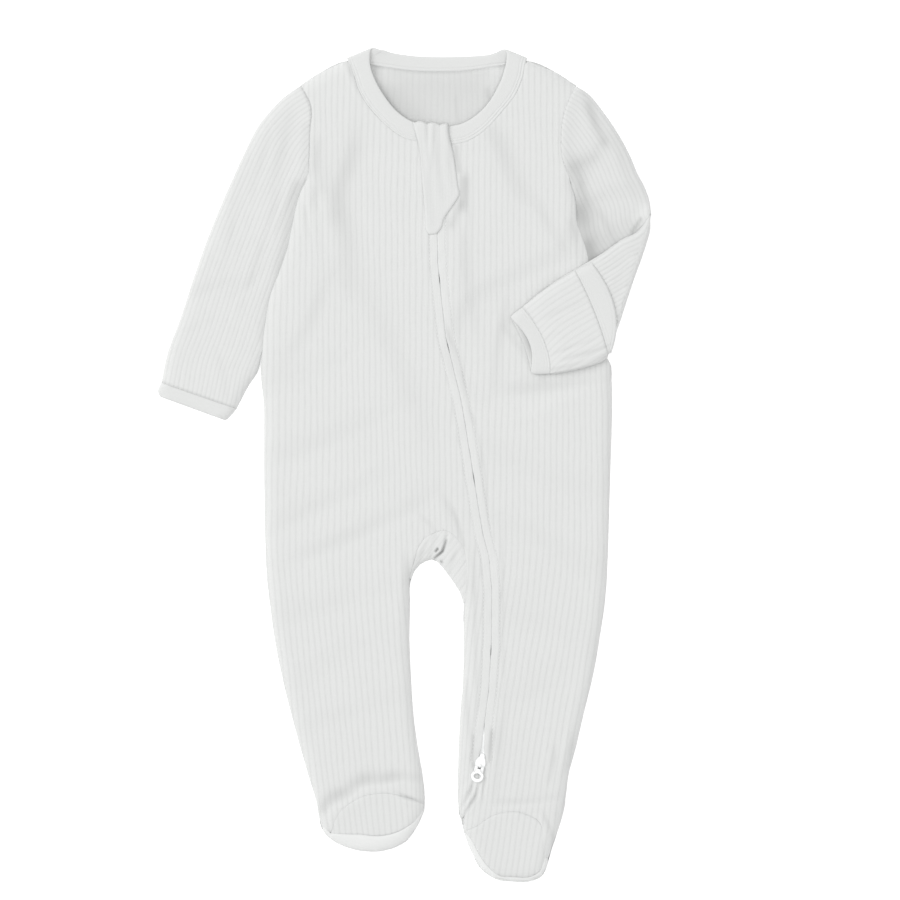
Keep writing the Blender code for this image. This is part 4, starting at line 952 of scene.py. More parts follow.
CAP_SHARES = (0.0, 0.05, 0.12, 0.25, 0.42, 0.58, 0.75, 0.88, 0.95, 1.0)
TUBE_EDGE = 1.6         # height of the sleeve's folded edges
TUBE_CROWN = 3.5        # how much higher its middle lies
TUBE_FLAT = 3.2         # both walls where they are pressed
TUBE_ROLL = (8.0, 4.5)  # width of the rolled edge on top and underneath
LOW_SIDE = 1.7          # how much lower the right sleeve lies beside the body
TUBE_COLUMNS = np.r_[0.0, 0.003, 0.008, np.linspace(0.014, 0.986, 98), 0.992, 0.997, 1.0]
SLEEVE_RIB = 3.0        # their ribs lie closer, as they are slacker
FOLD_Z = 3.9            # height of the line that the forearm is folded about
FOLD_STEPS = 8
FOLD_RUN = 12.0         # the cloth's own way round the fold
ELBOW = [(164, 169), (158.8, 162.4)]    # where the cloth swells over the fold's corner
ELBOW_FULL = 3.0
FOREARM_CROWN = 0.6
SLEEVE_GROOVE = 0.2     # the sleeves' ribs are stretched less, so they stand out more
SLEEVE_CREASES = [
    (-79.4, 225.1, -86.1, 183.6, 4, -0.3), (-146, 115, -112, 121, 4.5, -0.2),
    (-74, 186, -84, 158, 2.2, -0.3), (-84, 176, -96, 146, 2.4, -0.25),
    (-98, 140, -106, 112, 2.2, -0.25), (-116, 112, -99, 126, 3.2, -0.2),
    (-148, 88, -130, 96, 4, -0.12), (-125, 72, -119, 48, 2.4, -0.15),
    (-104, 206, -116, 172, 4, -0.2), (-92, 214, -100, 186, 2.6, -0.25),
    (-130, 140, -140, 112, 3, -0.15), (-114, 160, -122, 134, 2.6, -0.2),
    (121.6, 240.5, 133, 218, 3, -0.65), (133, 216, 127.5, 206, 3.2, -0.2),
    (127.5, 206, 114, 199, 4.2, -0.25), (118.5, 188, 126, 160, 2.4, -0.4),
    (140, 214, 152, 186, 3.5, -0.35), (131, 168, 140, 146, 3, -0.5),
    (126, 118, 150, 138, 2.4, -0.2), (134, 104, 146, 118, 2.2, -0.2),
]
#     painted shade, darkest on the right sleeve beside the body: x, y, x, y, half width, share
SLEEVE_PAINTED_SHADE = [
    (113.6, 198, 117.2, 166.8, 7.5, 0.28), (116.2, 166.8, 124, 138, 10, 0.4),
    (122, 146, 127, 128, 5, 0.36), (134, 150, 150, 158, 9, 0.14),
    (-72, 186, -84, 132, 4, 0.2), (-86, 128, -96, 84, 2.5, 0.14),
    (-66.5, 226, -67, 196, 3, 0.1), (122.6, 239, 132.8, 216, 3.6, 0.19),
    (130, 210, 116, 200, 6.5, 0.1), (157.4, 164, 151.4, 155, 1.3, 0.5),
    (127.2, 128.4, 129.2, 124.6, 0.9, 0.5), (133.3, 117.4, 134.6, 114.8, 0.8, 0.4),
    (136.2, 111.6, 137.4, 109.2, 0.8, 0.4), (139.5, 103.6, 140.4, 100.6, 0.8, 0.45),
    (141.6, 96.4, 142.2, 92.6, 0.8, 0.5),
]


def sections(table, shares):
    """Sections of a sleeve from its outer to its underarm edge, bowed as a parabola."""
    rows = np.array(table, float)
    plan = between(rows[:, 0:2], rows[:, 2:4], shares)
    plan[..., 0] += rows[:, 4:5] * 4.0 * shares * (1.0 - shares)
    return plan


def running(points):
    """Distance run from the first point of a line, or from the first row of a grid."""
    step = np.linalg.norm(np.diff(points, axis=0), axis=-1)
    return np.r_[0.0, np.cumsum(step.reshape(len(step), -1).mean(axis=1))]


def from_sides(plan):
    """Distance of a sleeve's points from its two edges."""
    return distance(plan, [plan[:, 0], plan[:, -1]])


def ring(over, under):
    """Closed rings of a tube: over the top, and back underneath to where it began."""
    return np.concatenate([over, under[:, ::-1], over[:, :1]], axis=1)


def hug(plan, line, gap, shares):
    """Moves the underarm edge of a sleeve to the body's own edge, a gap away, where they touch."""
    line = line[line[:, 1].argsort()]
    edge = plan[:, -1]
    near = ease((edge[:, 1] - CONTACT[1] + 6.0) / 8.0)
    shift = (np.interp(edge[:, 1], line[:, 1], line[:, 0]) + gap - edge[:, 0]) * near
    moved = plan.copy()
    moved[..., 0] += shift[:, None] * shares ** 10
    return moved


def cap(armhole, line, gap):
    """The sleeve's end at the armhole: heights from the table's curve, on the front's edge."""
    line = line[line[:, 1].argsort()]
    y = curve(np.array(CAP_SHARES), np.array(armhole)[:, 1], TUBE_COLUMNS)
    return np.stack([np.interp(y, line[:, 1], line[:, 0]) + gap, y], axis=-1)


def tube_layer(plan, top, bottom, rib, start=0.0):
    """A flat tube with ribs that run along it, counted from its outer edge on both faces, and a
    plain inner skin, drawn in from both edges."""
    across = distance(plan, [plan[:, 0]])
    along = start + running(plan)[:, None] + 0.0 * across
    edge = ease(from_sides(plan) / 2.0)
    rib = rib + 0.0 * across
    over_x, over_groove = ribbing(across * RIB / SLEEVE_RIB, along)
    under_x, under_groove = ribbing(-across * RIB / SLEEVE_RIB, along)
    over = np.maximum(top - SLEEVE_GROOVE * over_groove * rib * edge, TUBE_EDGE + 0.12)
    under = np.minimum(bottom + 0.36 * under_groove * rib * edge, TUBE_EDGE - 0.12)
    inward = unit(plan[:, [len(plan[0]) // 2]] - plan)
    pulled = plan + inward * 0.9 * (1.0 - edge[..., None])
    inner_over = np.maximum(np.minimum(top - WALL, over - 0.3), TUBE_EDGE + 0.04)
    inner_under = np.minimum(np.maximum(bottom + 1.2, under + 0.3), TUBE_EDGE - 0.04)
    knit = ring(np.stack([over_x, along], axis=-1), np.stack([under_x, along], axis=-1))
    # Painted shade in the sleeve's creases and hollows, on its top face only.
    trough = painted_crease_shade(plan, SLEEVE_CREASES) + painted_shade_along(plan, SLEEVE_PAINTED_SHADE)
    return (ring(lift(plan, over), lift(plan, under)),
            ring(lift(pulled, inner_over), lift(pulled, inner_under)),
            knit, ring(rib, rib), ring(trough, 0.0 * trough))


def by_armhole(plan, top, armhole, reach):
    """The sleeve's top, taken up to the front's own height at the armhole."""
    share = bell(distance(plan, [armhole]), reach)
    return top * (1.0 - share) + front_height(plan) * share


left_cap = cap(ARMHOLE_LEFT, left_side_line, -BUTT)
plan = refine(np.concatenate([[left_cap], sections(LEFT_SLEEVE, TUBE_COLUMNS)]), ALONG)
plan = hug(plan, left_side_line, -2.0 * BUTT, TUBE_COLUMNS)
gap = from_sides(plan)
inner_side = ease((TUBE_COLUMNS - 0.4) / 0.2) * held_up(plan[..., 1])
rolled = 1.0 - (1.0 - rise(gap, TUBE_ROLL[0])) * (1.0 - 0.6 * inner_side)
top = TUBE_EDGE + (TUBE_CROWN + creases(plan, SLEEVE_CREASES)) * rolled
top = by_armhole(plan, top, ARMHOLE_LEFT, 8.0)
hollow = 0.5 * bell(distance(plan, [[(-100.0, 190.0), (-128.0, 110.0)]]), 9.0)
bottom = TUBE_EDGE * (1.0 - rise(gap, TUBE_ROLL[1])) + hollow * ease(gap / 12.0)
sewn("sleeve_left_knit", [tube_layer(plan, top, bottom, 1.0)], ribbed_knit, "sleeve_left",
     flat=(0.136, 0.225), area=0.0252)

right_cap = cap(ARMHOLE_RIGHT, right_side_line, BUTT)
fold_start, fold_end = np.array(RIGHT_SLEEVE[-1][:2]), np.array(RIGHT_SLEEVE[-1][2:4])
fold_run = unit(fold_end - fold_start)
fold_out = np.array([-fold_run[1], fold_run[0], 0.0])


def folded(points, angle):
    """Points turned about the fold line by the angle; half a turn lays them on top. The fold
    is sharper at the elbow's corner, where it starts."""
    reach = FOLD_Z - points[..., 2]
    down = np.linalg.norm(points[..., :2] - fold_start, axis=-1)
    full = ease(down / 12.0) * (0.5 + 0.28 * bell(down - 22.0, 20.0))
    turned = points + (reach * full)[..., None] * np.sin(angle) * fold_out
    turned[..., 2] = FOLD_Z - reach * np.cos(angle)
    return turned


plan = refine(np.concatenate([[right_cap], sections(RIGHT_SLEEVE, TUBE_COLUMNS)]), ALONG)
plan = hug(plan, right_side_line, 2.0 * BUTT, TUBE_COLUMNS)
gap = from_sides(plan)
near_fold = ease(1.0 - distance(plan, [[fold_start, fold_end]]) / 16.0)
inner_side = ease((TUBE_COLUMNS - 0.4) / 0.2) * held_up(plan[..., 1])
rolled = 1.0 - (1.0 - rise(gap, TUBE_ROLL[0])) * (1.0 - inner_side)
low_side = LOW_SIDE * TUBE_COLUMNS ** 2
crown = TUBE_CROWN - low_side - PRESS * pressed(plan) + creases(plan, SLEEVE_CREASES)
top = TUBE_EDGE + np.maximum(crown, TUBE_FLAT - TUBE_EDGE) * rolled
top = by_armhole(plan, top, ARMHOLE_RIGHT, 6.5)
flat_top = TUBE_EDGE + (TUBE_FLAT - TUBE_EDGE) * rise(gap, TUBE_ROLL[1])
flat_top = flat_top + ELBOW_FULL * bell(distance(plan, [ELBOW]), 4.5) * rise(gap + 0.4, 2.5)
top = top * (1.0 - near_fold) + flat_top * near_fold
bottom = TUBE_EDGE * (1.0 - rise(gap, TUBE_ROLL[1]))
upper = tube_layer(plan, top, bottom, 1.0 - 0.5 * near_fold)
upper_run = upper[2][-1, 0, 1]

forearm_plan = refine(sections([RIGHT_SLEEVE[-1]] + RIGHT_FOREARM, TUBE_COLUMNS), ALONG)[1:]
forearm_table = np.array([RIGHT_SLEEVE[-1]] + RIGHT_FOREARM + RIGHT_CUFF)
forearm_edges = [forearm_table[:, 0:2], forearm_table[:, 2:4]]


def forearm_faces(plan):
    """Both faces of the folded part before it is turned over; its back, at the bottom, will lie
    on top, so a trough there is a rise here."""
    gap = distance(plan, forearm_edges)
    past_fold = ease(distance(plan, [[fold_start, fold_end]]) / 15.0)
    front = TUBE_EDGE + (TUBE_FLAT - TUBE_EDGE) * rise(gap, TUBE_ROLL[1])
    full = FOREARM_CROWN * past_fold + creases(plan, SLEEVE_CREASES)
    return front, TUBE_EDGE * (1.0 - rise(gap, TUBE_ROLL[1])) - full * rise(gap, TUBE_ROLL[0])


by_fold = bell(distance(forearm_plan, [[fold_start, fold_end]]), 5.0)
forearm = tube_layer(forearm_plan, *forearm_faces(forearm_plan), 1.0 - 0.2 * by_fold,
                     upper_run + FOLD_RUN)
turns = np.pi * np.arange(1, FOLD_STEPS + 1) / FOLD_STEPS
skins = [
    np.concatenate([upper[k]] + [folded(upper[k][-1:], turn) for turn in turns]
                   + [folded(forearm[k], np.pi)]) for k in (0, 1)
]
bend_knit = np.repeat(upper[2][-1:], FOLD_STEPS, axis=0)
bend_knit[..., 1] += FOLD_RUN * (np.arange(FOLD_STEPS) + 1)[:, None] / (FOLD_STEPS + 1)
knit = np.concatenate([upper[2], bend_knit, forearm[2]])
# The rib marks and the painted shade of the upper arm run round the fold on to the forearm's.
rib, trough = (
    np.concatenate([upper[k], np.repeat(upper[k][-1:], FOLD_STEPS, axis=0), forearm[k]])
    for k in (3, 4)
)
sleeve_right = sewn("sleeve_right_knit", [(*skins, knit, rib, trough)], ribbed_knit,
                    "sleeve_right", flat=(0.136, 0.22), area=0.0245)

# ---- cuffs: a band of smooth jersey bound round each sleeve's end, turned in and stitched
# through, so it lies a little fuller than the sleeve beside it. ----

LEFT_CUFF = [
    (-163.45, 54.41, -113.15, 36.91, 0), (-165.8, 49.3, -116.9, 32.4, 0),
    (-164.8, 45.2, -120.3, 29, 0),
]
JERSEY = "#dcdddc"
JERSEY_SHADE = "#cfd0cf"
MOUTH = 3.8             # how far the mouth of the right cuff gapes
BINDING_SEAM = 0.18     # depth of the stitched lines beside a binding's seam
smooth_knit = knit_material("smooth_cotton_jersey", JERSEY, JERSEY_SHADE, COTTON)


def bound(plan, rounding):
    """Height of a binding along its width, as a share: rounded over its free edge and a little
    at its seam, with two stitched lines near the seam and a finer one near the free edge."""
    first = plan[:1]
    run = np.linalg.norm(plan - first, axis=-1)
    total = run[-1:]
    ends = (0.9 + 0.1 * rise(run, 1.1)) * rise(total - run, rounding)
    lines = BINDING_SEAM * (bell(run - 1.6, 0.4) + 0.7 * bell(run - 3.4, 0.4))
    return 0.35 + 0.65 * ends, lines + 0.2 * bell(total - run - 2.2, 0.5)


def cornered(plan):
    """A cuff's rows, drawn in towards their middles at the open end, which rounds its corners."""
    run = np.linalg.norm(plan[:, 0] - plan[0, 0], axis=-1)
    wide = np.linalg.norm(plan[:, -1] - plan[:, 0], axis=-1)
    share = 1.0 - 2.0 * (1.0 - rise(run[-1] - run, 1.6)) / wide
    centre = (plan[:, :1] + plan[:, -1:]) / 2
    return centre + (plan - centre) * share[:, None, None]


plan = cornered(refine(sections(LEFT_CUFF, TUBE_COLUMNS), 0.4))
share, lines = bound(plan, 2.2)
gap = from_sides(plan)
top = TUBE_EDGE + (TUBE_CROWN * share - lines) * rise(gap, 6.5)
bottom = np.maximum(TUBE_EDGE * (1.0 - share * rise(gap, TUBE_ROLL[1])), 0.0)
sewn("cuff_left_jersey", [tube_layer(plan, top, bottom, 0.0)], smooth_knit, "cuff_binding_left",
     flat=(0.106, 0.0105), area=0.00105)

plan = cornered(refine(sections(RIGHT_CUFF, TUBE_COLUMNS), 0.45))
share, lines = bound(plan, 2.2)
gap = from_sides(plan)
low_face = TUBE_EDGE + (TUBE_FLAT - TUBE_EDGE) * share * rise(gap, TUBE_ROLL[1])
high_face = TUBE_EDGE - ((TUBE_EDGE + FOREARM_CROWN) * share - lines) * rise(gap, 6.0)
layer = tube_layer(plan, low_face, high_face, 0.0)
layer = (folded(layer[0], np.pi), folded(layer[1], np.pi), *layer[2:])
# The upper wall is drawn back in a crescent, so that the mouth of the cuff shows.
to_mouth = np.linspace(0.0, 1.0, len(plan))[:, None]
drawn = MOUTH * (TUBE_COLUMNS * (1.0 - TUBE_COLUMNS) * 4.0) ** 1.6 * to_mouth ** 1.5
for skin in layer[:2]:
    skin[:, len(TUBE_COLUMNS):-1, :2] += (drawn[..., None] * unit(plan[0] - plan[-1]))[:, ::-1]
# Painted shade inside the cuff's mouth, on the inner face under its upper wall.
inside = 0.9 * bell(to_mouth - 0.58, 0.3) * bell(TUBE_COLUMNS - 0.5, 0.36)
inside = ring(inside, 0.0 * inside)
sewn("cuff_right_jersey", [(*layer, inside)], smooth_knit, "cuff_binding_right",
     flat=(0.098, 0.0115), area=0.0011)

# ---- mitt: a pocket of ribbed knit over the sleeve's end that folds over a baby's hand. Its
# opening is bound with smooth jersey, and it lies folded back on the forearm. ----

MITT_BAND = [
    (124.3, 134.7, 137.6, 74.4, 9), (118.6, 132.2, 136.7, 74, 5),
    (113.4, 129.6, 135.7, 73.6, 2),
]
MITT = [
    (113.5, 129.66, 135.79, 73.66, 2), (106.5, 125.2, 127.5, 67.6, 2),
    (99.5, 121, 118, 64.4, 2), (92.5, 116.2, 109, 62.4, 2.5),
    (85.5, 110.8, 101.5, 61.2, 3.5), (78.03, 104.83, 96.83, 60.45, 5),
]
MITT_EDGE = 7.5         # height of the mitt's rolled edges
MITT_CROWN = 2.45
MITT_CREASES = [
    (97, 62.5, 116, 67.5, 1.5, -0.4), (108, 69.5, 130, 77, 1.5, -0.4),
    (102, 74, 122, 82, 1.4, -0.28), (118, 71, 134, 78, 1.3, -0.4),
    (96, 98, 116, 108, 2.2, -0.2), (88, 76, 96, 84, 2, -0.25),
]


def mitt_layer(plan, rib, share, lines):
    """The mitt's one wall, rolled down at both sides of the forearm that it lies on."""
    gap = from_sides(plan)
    wide = np.linalg.norm(np.diff(plan, axis=1), axis=-1)
    across = np.concatenate([np.zeros((len(plan), 1)), np.cumsum(wide, axis=1)], axis=1)
    along = running(plan)[:, None] + 0.0 * across
    over_x, groove = ribbing(across, along)
    under = 2.0 * FOLD_Z - forearm_faces(plan)[1] + 0.12
    rolled = rise(gap, 6.0)
    plain = MITT_EDGE + (MITT_CROWN * share + creases(plan, MITT_CREASES) - lines) * rolled
    top = np.maximum(plain - 0.2 * groove * rib * ease(gap / 2.0), under + 0.3)
    inner = np.maximum(np.minimum(plain - WALL, top - 0.25), np.minimum(under, top - 0.25))
    knit = np.stack([over_x, along], axis=-1)
    # The last mark is painted shade in its creases.
    return (lift(plan, top), lift(plan, inner), knit, np.full(gap.shape, rib),
            painted_crease_shade(plan, MITT_CREASES))


plan = refine(sections(MITT, TUBE_COLUMNS), 2.0)
share = (1.0 - 0.44 * bell(distance(plan, [plan[-1]]), 6.0)
         - 0.12 * bell(distance(plan, [plan[0]]), 1.6))
sewn("mitt_right_knit", [mitt_layer(plan, 0.8, share, 0.0)], ribbed_knit, "mitt_right",
     flat=(0.066, 0.052), area=0.0021)

plan = refine(sections(MITT_BAND, TUBE_COLUMNS), 0.55)[::-1]
share, lines = bound(plan, 2.0)
sewn("mitt_band_jersey", [mitt_layer(plan, 0.0, share, lines)], smooth_knit,
     "mitt_binding_right", flat=(0.066, 0.013), area=0.00066)

# ---- feet: an instep of ribbed knit and a smooth sole that wraps up round the toes. The sole's
# seam with the instep is puckered, as the longer sole is eased onto it. ----

NOSE = 2.1              # height of the toe's edge
SOLE_WALL = 1.2
BRUSHED = "#e6e7e6"
BRUSHED_SHADE = "#dadbda"
# The soles' jersey is brushed on its face, which makes it look a little whiter.
sole_jersey = knit_material("brushed_cotton_jersey", BRUSHED, BRUSHED_SHADE, COTTON)


def beside(line, gap):
    """A polyline moved sideways by the gap, to its right as it runs."""
    run = unit(np.gradient(line, axis=0))
    return line + np.stack([run[:, 1], -run[:, 0]], axis=-1) * gap


def instep(foot, leg_end):
    """Layers of the top of a foot, ruled between the leg's seam and the sole's seam."""
    foot = refine(foot, 0.8)
    seam = snapped(foot[:, 0:2], [leg_end])
    plan = between(beside(seam, BUTT), foot[:, 2:4], np.linspace(0.0, 1.0, 20))
    return [front_layer(plan.transpose(1, 0, 2))]


def sole(foot, heel, side, turn, edge):
    """From the seam over the toe edge and back under to the heel: ruled on top, and underneath a
    parabola through the toe, the middle of the sole and the heel, with the wall laid inside."""
    foot = refine(foot, 0.9)
    seam, toe = beside(snapped(foot[:, 0:2], [edge]), BUTT), foot[:, 2:4]
    heel_line = between([heel[0]], [heel[1]], np.linspace(0.0, 1.0, len(foot)))[0] - (0.0, BUTT)
    end = np.abs(np.linspace(0.0, 1.0, len(foot)) - (1.0 if side else 0.0))
    middle = (toe + heel_line) / 2
    middle = middle + (np.array(turn) - middle[-1 if side else 0]) * bell(end, 0.12)[:, None]
    a = (1.0 - (1.0 - np.linspace(0.0, 1.0, 12)) ** 1.7)[:, None, None]
    over = seam + (toe - seam) * a
    b = (np.linspace(0.0, 1.0, 22)[1:] ** 1.8)[:, None, None]
    under = ((1 - b) * (1 - 2 * b) * toe + 4 * b * (1 - b) * middle - b * (1 - 2 * b) * heel_line)
    gap = distance(over, body_edges)
    top = np.maximum(front_height(over), NOSE) + 0.3 * bell(distance(over, [seam]) - 2.2, 1.2)
    top = np.minimum(top, NOSE + (CROWN + EDGE_TOP - NOSE) * rise(gap + 0.02, ROLL))
    bottom = NOSE * (1.0 - rise(distance(under, [toe] + body_edges), 3.5))
    plan = np.concatenate([over, under])
    outer = np.concatenate([lift(over, top), lift(under, bottom)])
    near_toe = bell(distance(plan, [toe]), 2.0)[..., None]
    core = plan + (middle - plan) / np.maximum(
        np.linalg.norm(middle - plan, axis=-1, keepdims=True), 1.0) * near_toe * 1.1
    inner = np.concatenate([
        lift(core[:len(over)], np.maximum(top - SOLE_WALL, NOSE + 0.1)),
        lift(core[len(over):], np.minimum(bottom + SOLE_WALL, NOSE - 0.1)),
    ])
    plain = np.zeros(plan.shape[:2])
    knit = np.stack([plan[..., 0], running(outer)[:, None] + plain], axis=-1)
    return [(outer, inner, knit, plain, plain)]


#   seam x, y, toe x, y, where the left sole starts further round its side
LEFT_WRAP = [(-57.3, -238.8, -57.5, -239.2), (-54.2, -243, -55.6, -244.6)]
#   hand, table, heel, side, turn of the heel, leg's end, and the cuts of both pieces: flat, area
FEET = [
    ("left", LEFT_FOOT, LEFT_HEEL, 0, LEFT_HEEL_SIDE[2], left_leg_end, (0.064, 0.028), 0.0013,
     (0.074, 0.066), 0.003),
    ("right", RIGHT_FOOT, RIGHT_HEEL, 1, RIGHT_HEEL_SIDE[2], right_leg_end, (0.054, 0.044),
     0.0015, (0.072, 0.07), 0.003),
]
for hand, foot, heel, side, turn, leg_end, top_flat, top_area, sole_flat, sole_area in FEET:
    sewn(f"instep_{hand}_knit", instep(foot, leg_end), ribbed_knit, f"instep_{hand}",
         flat=top_flat, area=top_area)
    wrap = [] if side else LEFT_WRAP
    layers = sole(wrap + [row[2:] for row in foot], heel, side, turn, refine(foot, 0.8)[:, 2:4])
    sewn(f"sole_{hand}_jersey", layers, sole_jersey, f"sole_{hand}", flat=sole_flat,
         area=sole_area)

# ---- neck binding: one band of smooth jersey sewn round the neck edge, turned in and stitched
# through. It lies on the front, folds at both shoulders and lies on the back behind. ----

#   at each shoulder's fold: centre x, y and radius of the free edge's turn, and seam edge x, y
NECK_FOLD_LEFT = (-20.5, 275.3, 3.1, -38.6, 269.6)
NECK_FOLD_RIGHT = (65.2, 275.0, 2.4, 80.8, 269.8)
FOLD_Z_FREE = (4.2, 2.9)    # heights of the band's middle where a fold begins and ends, at its
FOLD_Z_SEAM = (4.1, 0.9)    # free edge and at its seam
STAND = (2.0, 9.0)      # how far the free edge stands up beside a fold, and along what length
BAND_HALF = 0.8         # half of the band's thickness


def both_edges(table):
    """Rows of the band as free edge x, y, z and seam edge x, y, z."""
    return np.array(table)[:, [0, 1, 4, 2, 3, 4]]


def neck_turn(fold, upward):
    """Rows of a shoulder fold: the free edge goes round a circle and down a little, and the
    seam edge over half a circle from the front's height to the back's."""
    x, y, radius, seam_x, seam_y = fold
    hand = np.sign(x - seam_x)
    around = np.radians(np.linspace(0.0, 118.0, 11))
    free_z = FOLD_Z_FREE[0] + (FOLD_Z_FREE[1] - FOLD_Z_FREE[0]) * ease(around / around[-1])
    free = [x - hand * radius * np.cos(around), y + radius * np.sin(around), free_z]
    away = np.array([-hand * (y - seam_y), hand * (x - seam_x)]) / np.hypot(x - seam_x, y - seam_y)
    tip = (FOLD_Z_SEAM[0] - FOLD_Z_SEAM[1]) / 2
    angle = np.linspace(np.pi / 2, -np.pi / 2, 11)
    seam = [seam_x + away[0] * tip * np.cos(angle), seam_y + away[1] * tip * np.cos(angle),
            FOLD_Z_SEAM[1] + tip * (1.0 + np.sin(angle))]
    rows = np.stack(free + seam, axis=-1)
    return rows[::-1] if upward else rows


behind = both_edges(NECK_BACK)
for fold in (NECK_FOLD_LEFT, NECK_FOLD_RIGHT):
    behind[:, 2] += STAND[0] * bell(behind[:, 0] - fold[0], STAND[1])
neck_rows = refine(np.concatenate([
    both_edges(NECK_FRONT_LEFT)[:-1], neck_turn(NECK_FOLD_LEFT, False), behind,
    neck_turn(NECK_FOLD_RIGHT, True), both_edges(NECK_FRONT_RIGHT)[-2::-1]]), 1.0)
band_shares = np.r_[0.0, 0.01, 0.03, 0.06, np.linspace(0.1, 0.9, 33), 0.94, 0.97, 0.99, 1.0]
middle = between(neck_rows[:, 0:3], neck_rows[:, 3:6], band_shares)
normal = unit(np.cross(np.gradient(middle, axis=0), np.gradient(middle, axis=1)))
normal = normal * np.sign(normal[:3, :, 2].mean())
run = running(middle[:, 20])[:, None]
width = np.linalg.norm(middle[:, -1] - middle[:, 0], axis=-1)[:, None]
place = band_shares * width
ends = 0.2 + 0.8 * rise(place, 2.2) * rise(width - place, 1.4)
lines = 0.34 * bell(width - place - 1.9, 0.4) + 0.24 * bell(width - place - 3.7, 0.4)
pucker = 0.1 * np.sin(run / 1.3 + np.sin(run / 9.0)) * bell(width - place - 1.5, 2.2)
outer = middle + normal * (BAND_HALF * ends - lines + pucker)[..., None]
inner = middle - normal * (BAND_HALF * ends - 0.3 * bell(place - width + 1.9, 0.5))[..., None]
outer[..., 2] = np.maximum(outer[..., 2], 0.02)
inner[..., 2] = np.maximum(inner[..., 2], 0.02)
knit = np.stack([place + 0.0 * run, run + 0.0 * place], axis=-1)
plain = np.zeros(place.shape)
band = sewn("neck_band_jersey", [(outer, inner, knit, plain, plain)], smooth_knit,
            "neck_binding", flat=(0.262, 0.012), area=0.0029)

# ---- zip guard: a doubled tab of jersey over the top of the zip that keeps the slider off a
# baby's chin. It is gathered into the neck seam and runs to an offset point. ----

#   left x, y, right x, y
GUARD = [
    (4.6, 229.2, 28.7, 226.8), (7.2, 219.5, 29.5, 218.5), (9.2, 210.5, 31.8, 209),
    (10.4, 198, 33.8, 196.5), (11.4, 186, 35.2, 186), (12.2, 177, 36, 179.6),
    (12.8, 169, 30.5, 171), (13.2, 162, 26, 164.3), (13.8, 155.8, 23.8, 157.6),
    (16, 153.2, 20.5, 153.6),
]
GUARD_UNDER = 6.3       # over the binding; it lies lower on the front
GUARD_WALL = 1.3
GUARD_FOLDS = [
    (14.4, 228.4, 16.2, 206, 1.2, -0.34), (19.8, 228.2, 18.6, 202, 1.4, -0.36),
    (28.6, 227, 30.8, 208, 1.2, -0.3), (10.6, 212, 14, 176, 2, -0.3),
    (22, 212, 24.5, 184, 2.4, -0.28), (29.8, 206, 31.5, 188, 1.6, -0.25),
    (17, 196, 18, 166, 2.2, -0.22),
]
guard_rows = refine(GUARD, 0.9)
plan = between(guard_rows[:, 0:2], guard_rows[:, 2:4], np.linspace(0.0, 1.0, 44))
scallop = bell(np.linspace(0.0, 12.0, len(plan)), 2.0)[:, None]
lobes = np.abs(np.sin((plan[..., 0] - 14.6) / 2.7)) ** 0.8
plan[..., 1] += scallop * (1.5 * lobes - 0.9)
gap = distance(plan, [plan[:, 0], plan[:, -1], plan[0], plan[-1]])
rolled = rise(gap, 1.9)
lying = GUARD_UNDER - 0.35 * ease((212.0 - plan[..., 1]) / 14.0)
full = GUARD_WALL - 0.25 + creases(plan, GUARD_FOLDS) + 0.5 * lobes * np.sqrt(scallop)
top = lying + 0.25 + full * rolled
under = lying + 0.2 * (1.0 - rolled)
plain = np.zeros(gap.shape)
# The last mark is painted shade in its folds.
layer = (lift(plan, top), lift(plan, under), plan, plain, painted_crease_shade(plan, GUARD_FOLDS))
sewn("zip_guard_jersey", [layer], smooth_knit, "zip_guard", flat=(0.025, 0.077), area=0.0017)

# ---- zip: a nylon coil chain between two woven polyester tapes, sewn under both fronts with a
# row of lockstitch on each side and a bar across its lower end. ----

TAPE_REACH = (0.5, 10.5)
CHAIN_HALF = 2.2
BACK_LEVEL = 2.0        # the top of the back panel, which the zip lies on
CHAIN_END = -195.2
COIL = 1.5              # from one turn of the coil to the next
TAPE_COLOUR = "#f1f2f2"
NYLON_COLOUR = "#f6f7f7"
THREAD_COLOUR = "#e6e7e6"


def zip_strip(name, offsets, end, step, relief, wall, drop, look, cad_node):
    """A strip under the fronts along the closing line, at the given distances from it."""
    y = np.arange(ZIP_TOP, end, -step)
    middle, half = zip_x(y)
    plan = np.stack([middle[:, None] + offsets, y[:, None] + 0.0 * offsets], axis=-1)
    beside_zip = np.stack([middle + half + 4.0, y], axis=-1)
    level = np.minimum(front_height(beside_zip)[:, None], 6.0) - WALL - drop
    level = np.maximum(level, BACK_LEVEL + 0.5)
    top = level + relief(offsets[None, :], y[:, None])
    plain = np.zeros(top.shape)
    base = np.maximum(level - wall, BACK_LEVEL)
    made = shell(name, [(lift(plan, top), lift(plan, base), plan, plain, plain)], look)
    return stand_in(made, cad_node)


def coil(across, along):
    """Turns of the coil: a ridge across each turn, offset on the two sides of the middle. The
    chain rises towards the slider, where the fronts' edges part."""
    turn = np.abs(np.sin(np.pi * (along / COIL + 0.25 * np.sign(across))))
    up = 1.5 * ease((-164.0 - along) / 8.0) + bell(along + 181.0, 8.0)
    return 0.45 * turn * bell(np.abs(across) - 1.0, 0.9) - 0.2 + up


# Polyester tape: a fine herringbone of filament yarn, a little brighter than the cotton.
tape_look = grained(
    "woven_polyester_tape", TAPE_COLOUR, {"Roughness": 0.7, "IOR": 1.58, "Sheen Weight": 0.1},
    "ShaderNodeTexWave", {"wave_type": "BANDS", "bands_direction": "DIAGONAL", "Scale": 320.0,
                          "Distortion": 0.4}, 0.4, 0.0001)

# Nylon coil: monofilament, smooth and slightly glossy, white all through.
nylon = grained(
    "white_nylon_coil", NYLON_COLOUR, {"Roughness": 0.4, "IOR": 1.53, "Coat Weight": 0.1},
    "ShaderNodeTexNoise", {"Scale": 900.0}, 0.1, 0.00005)

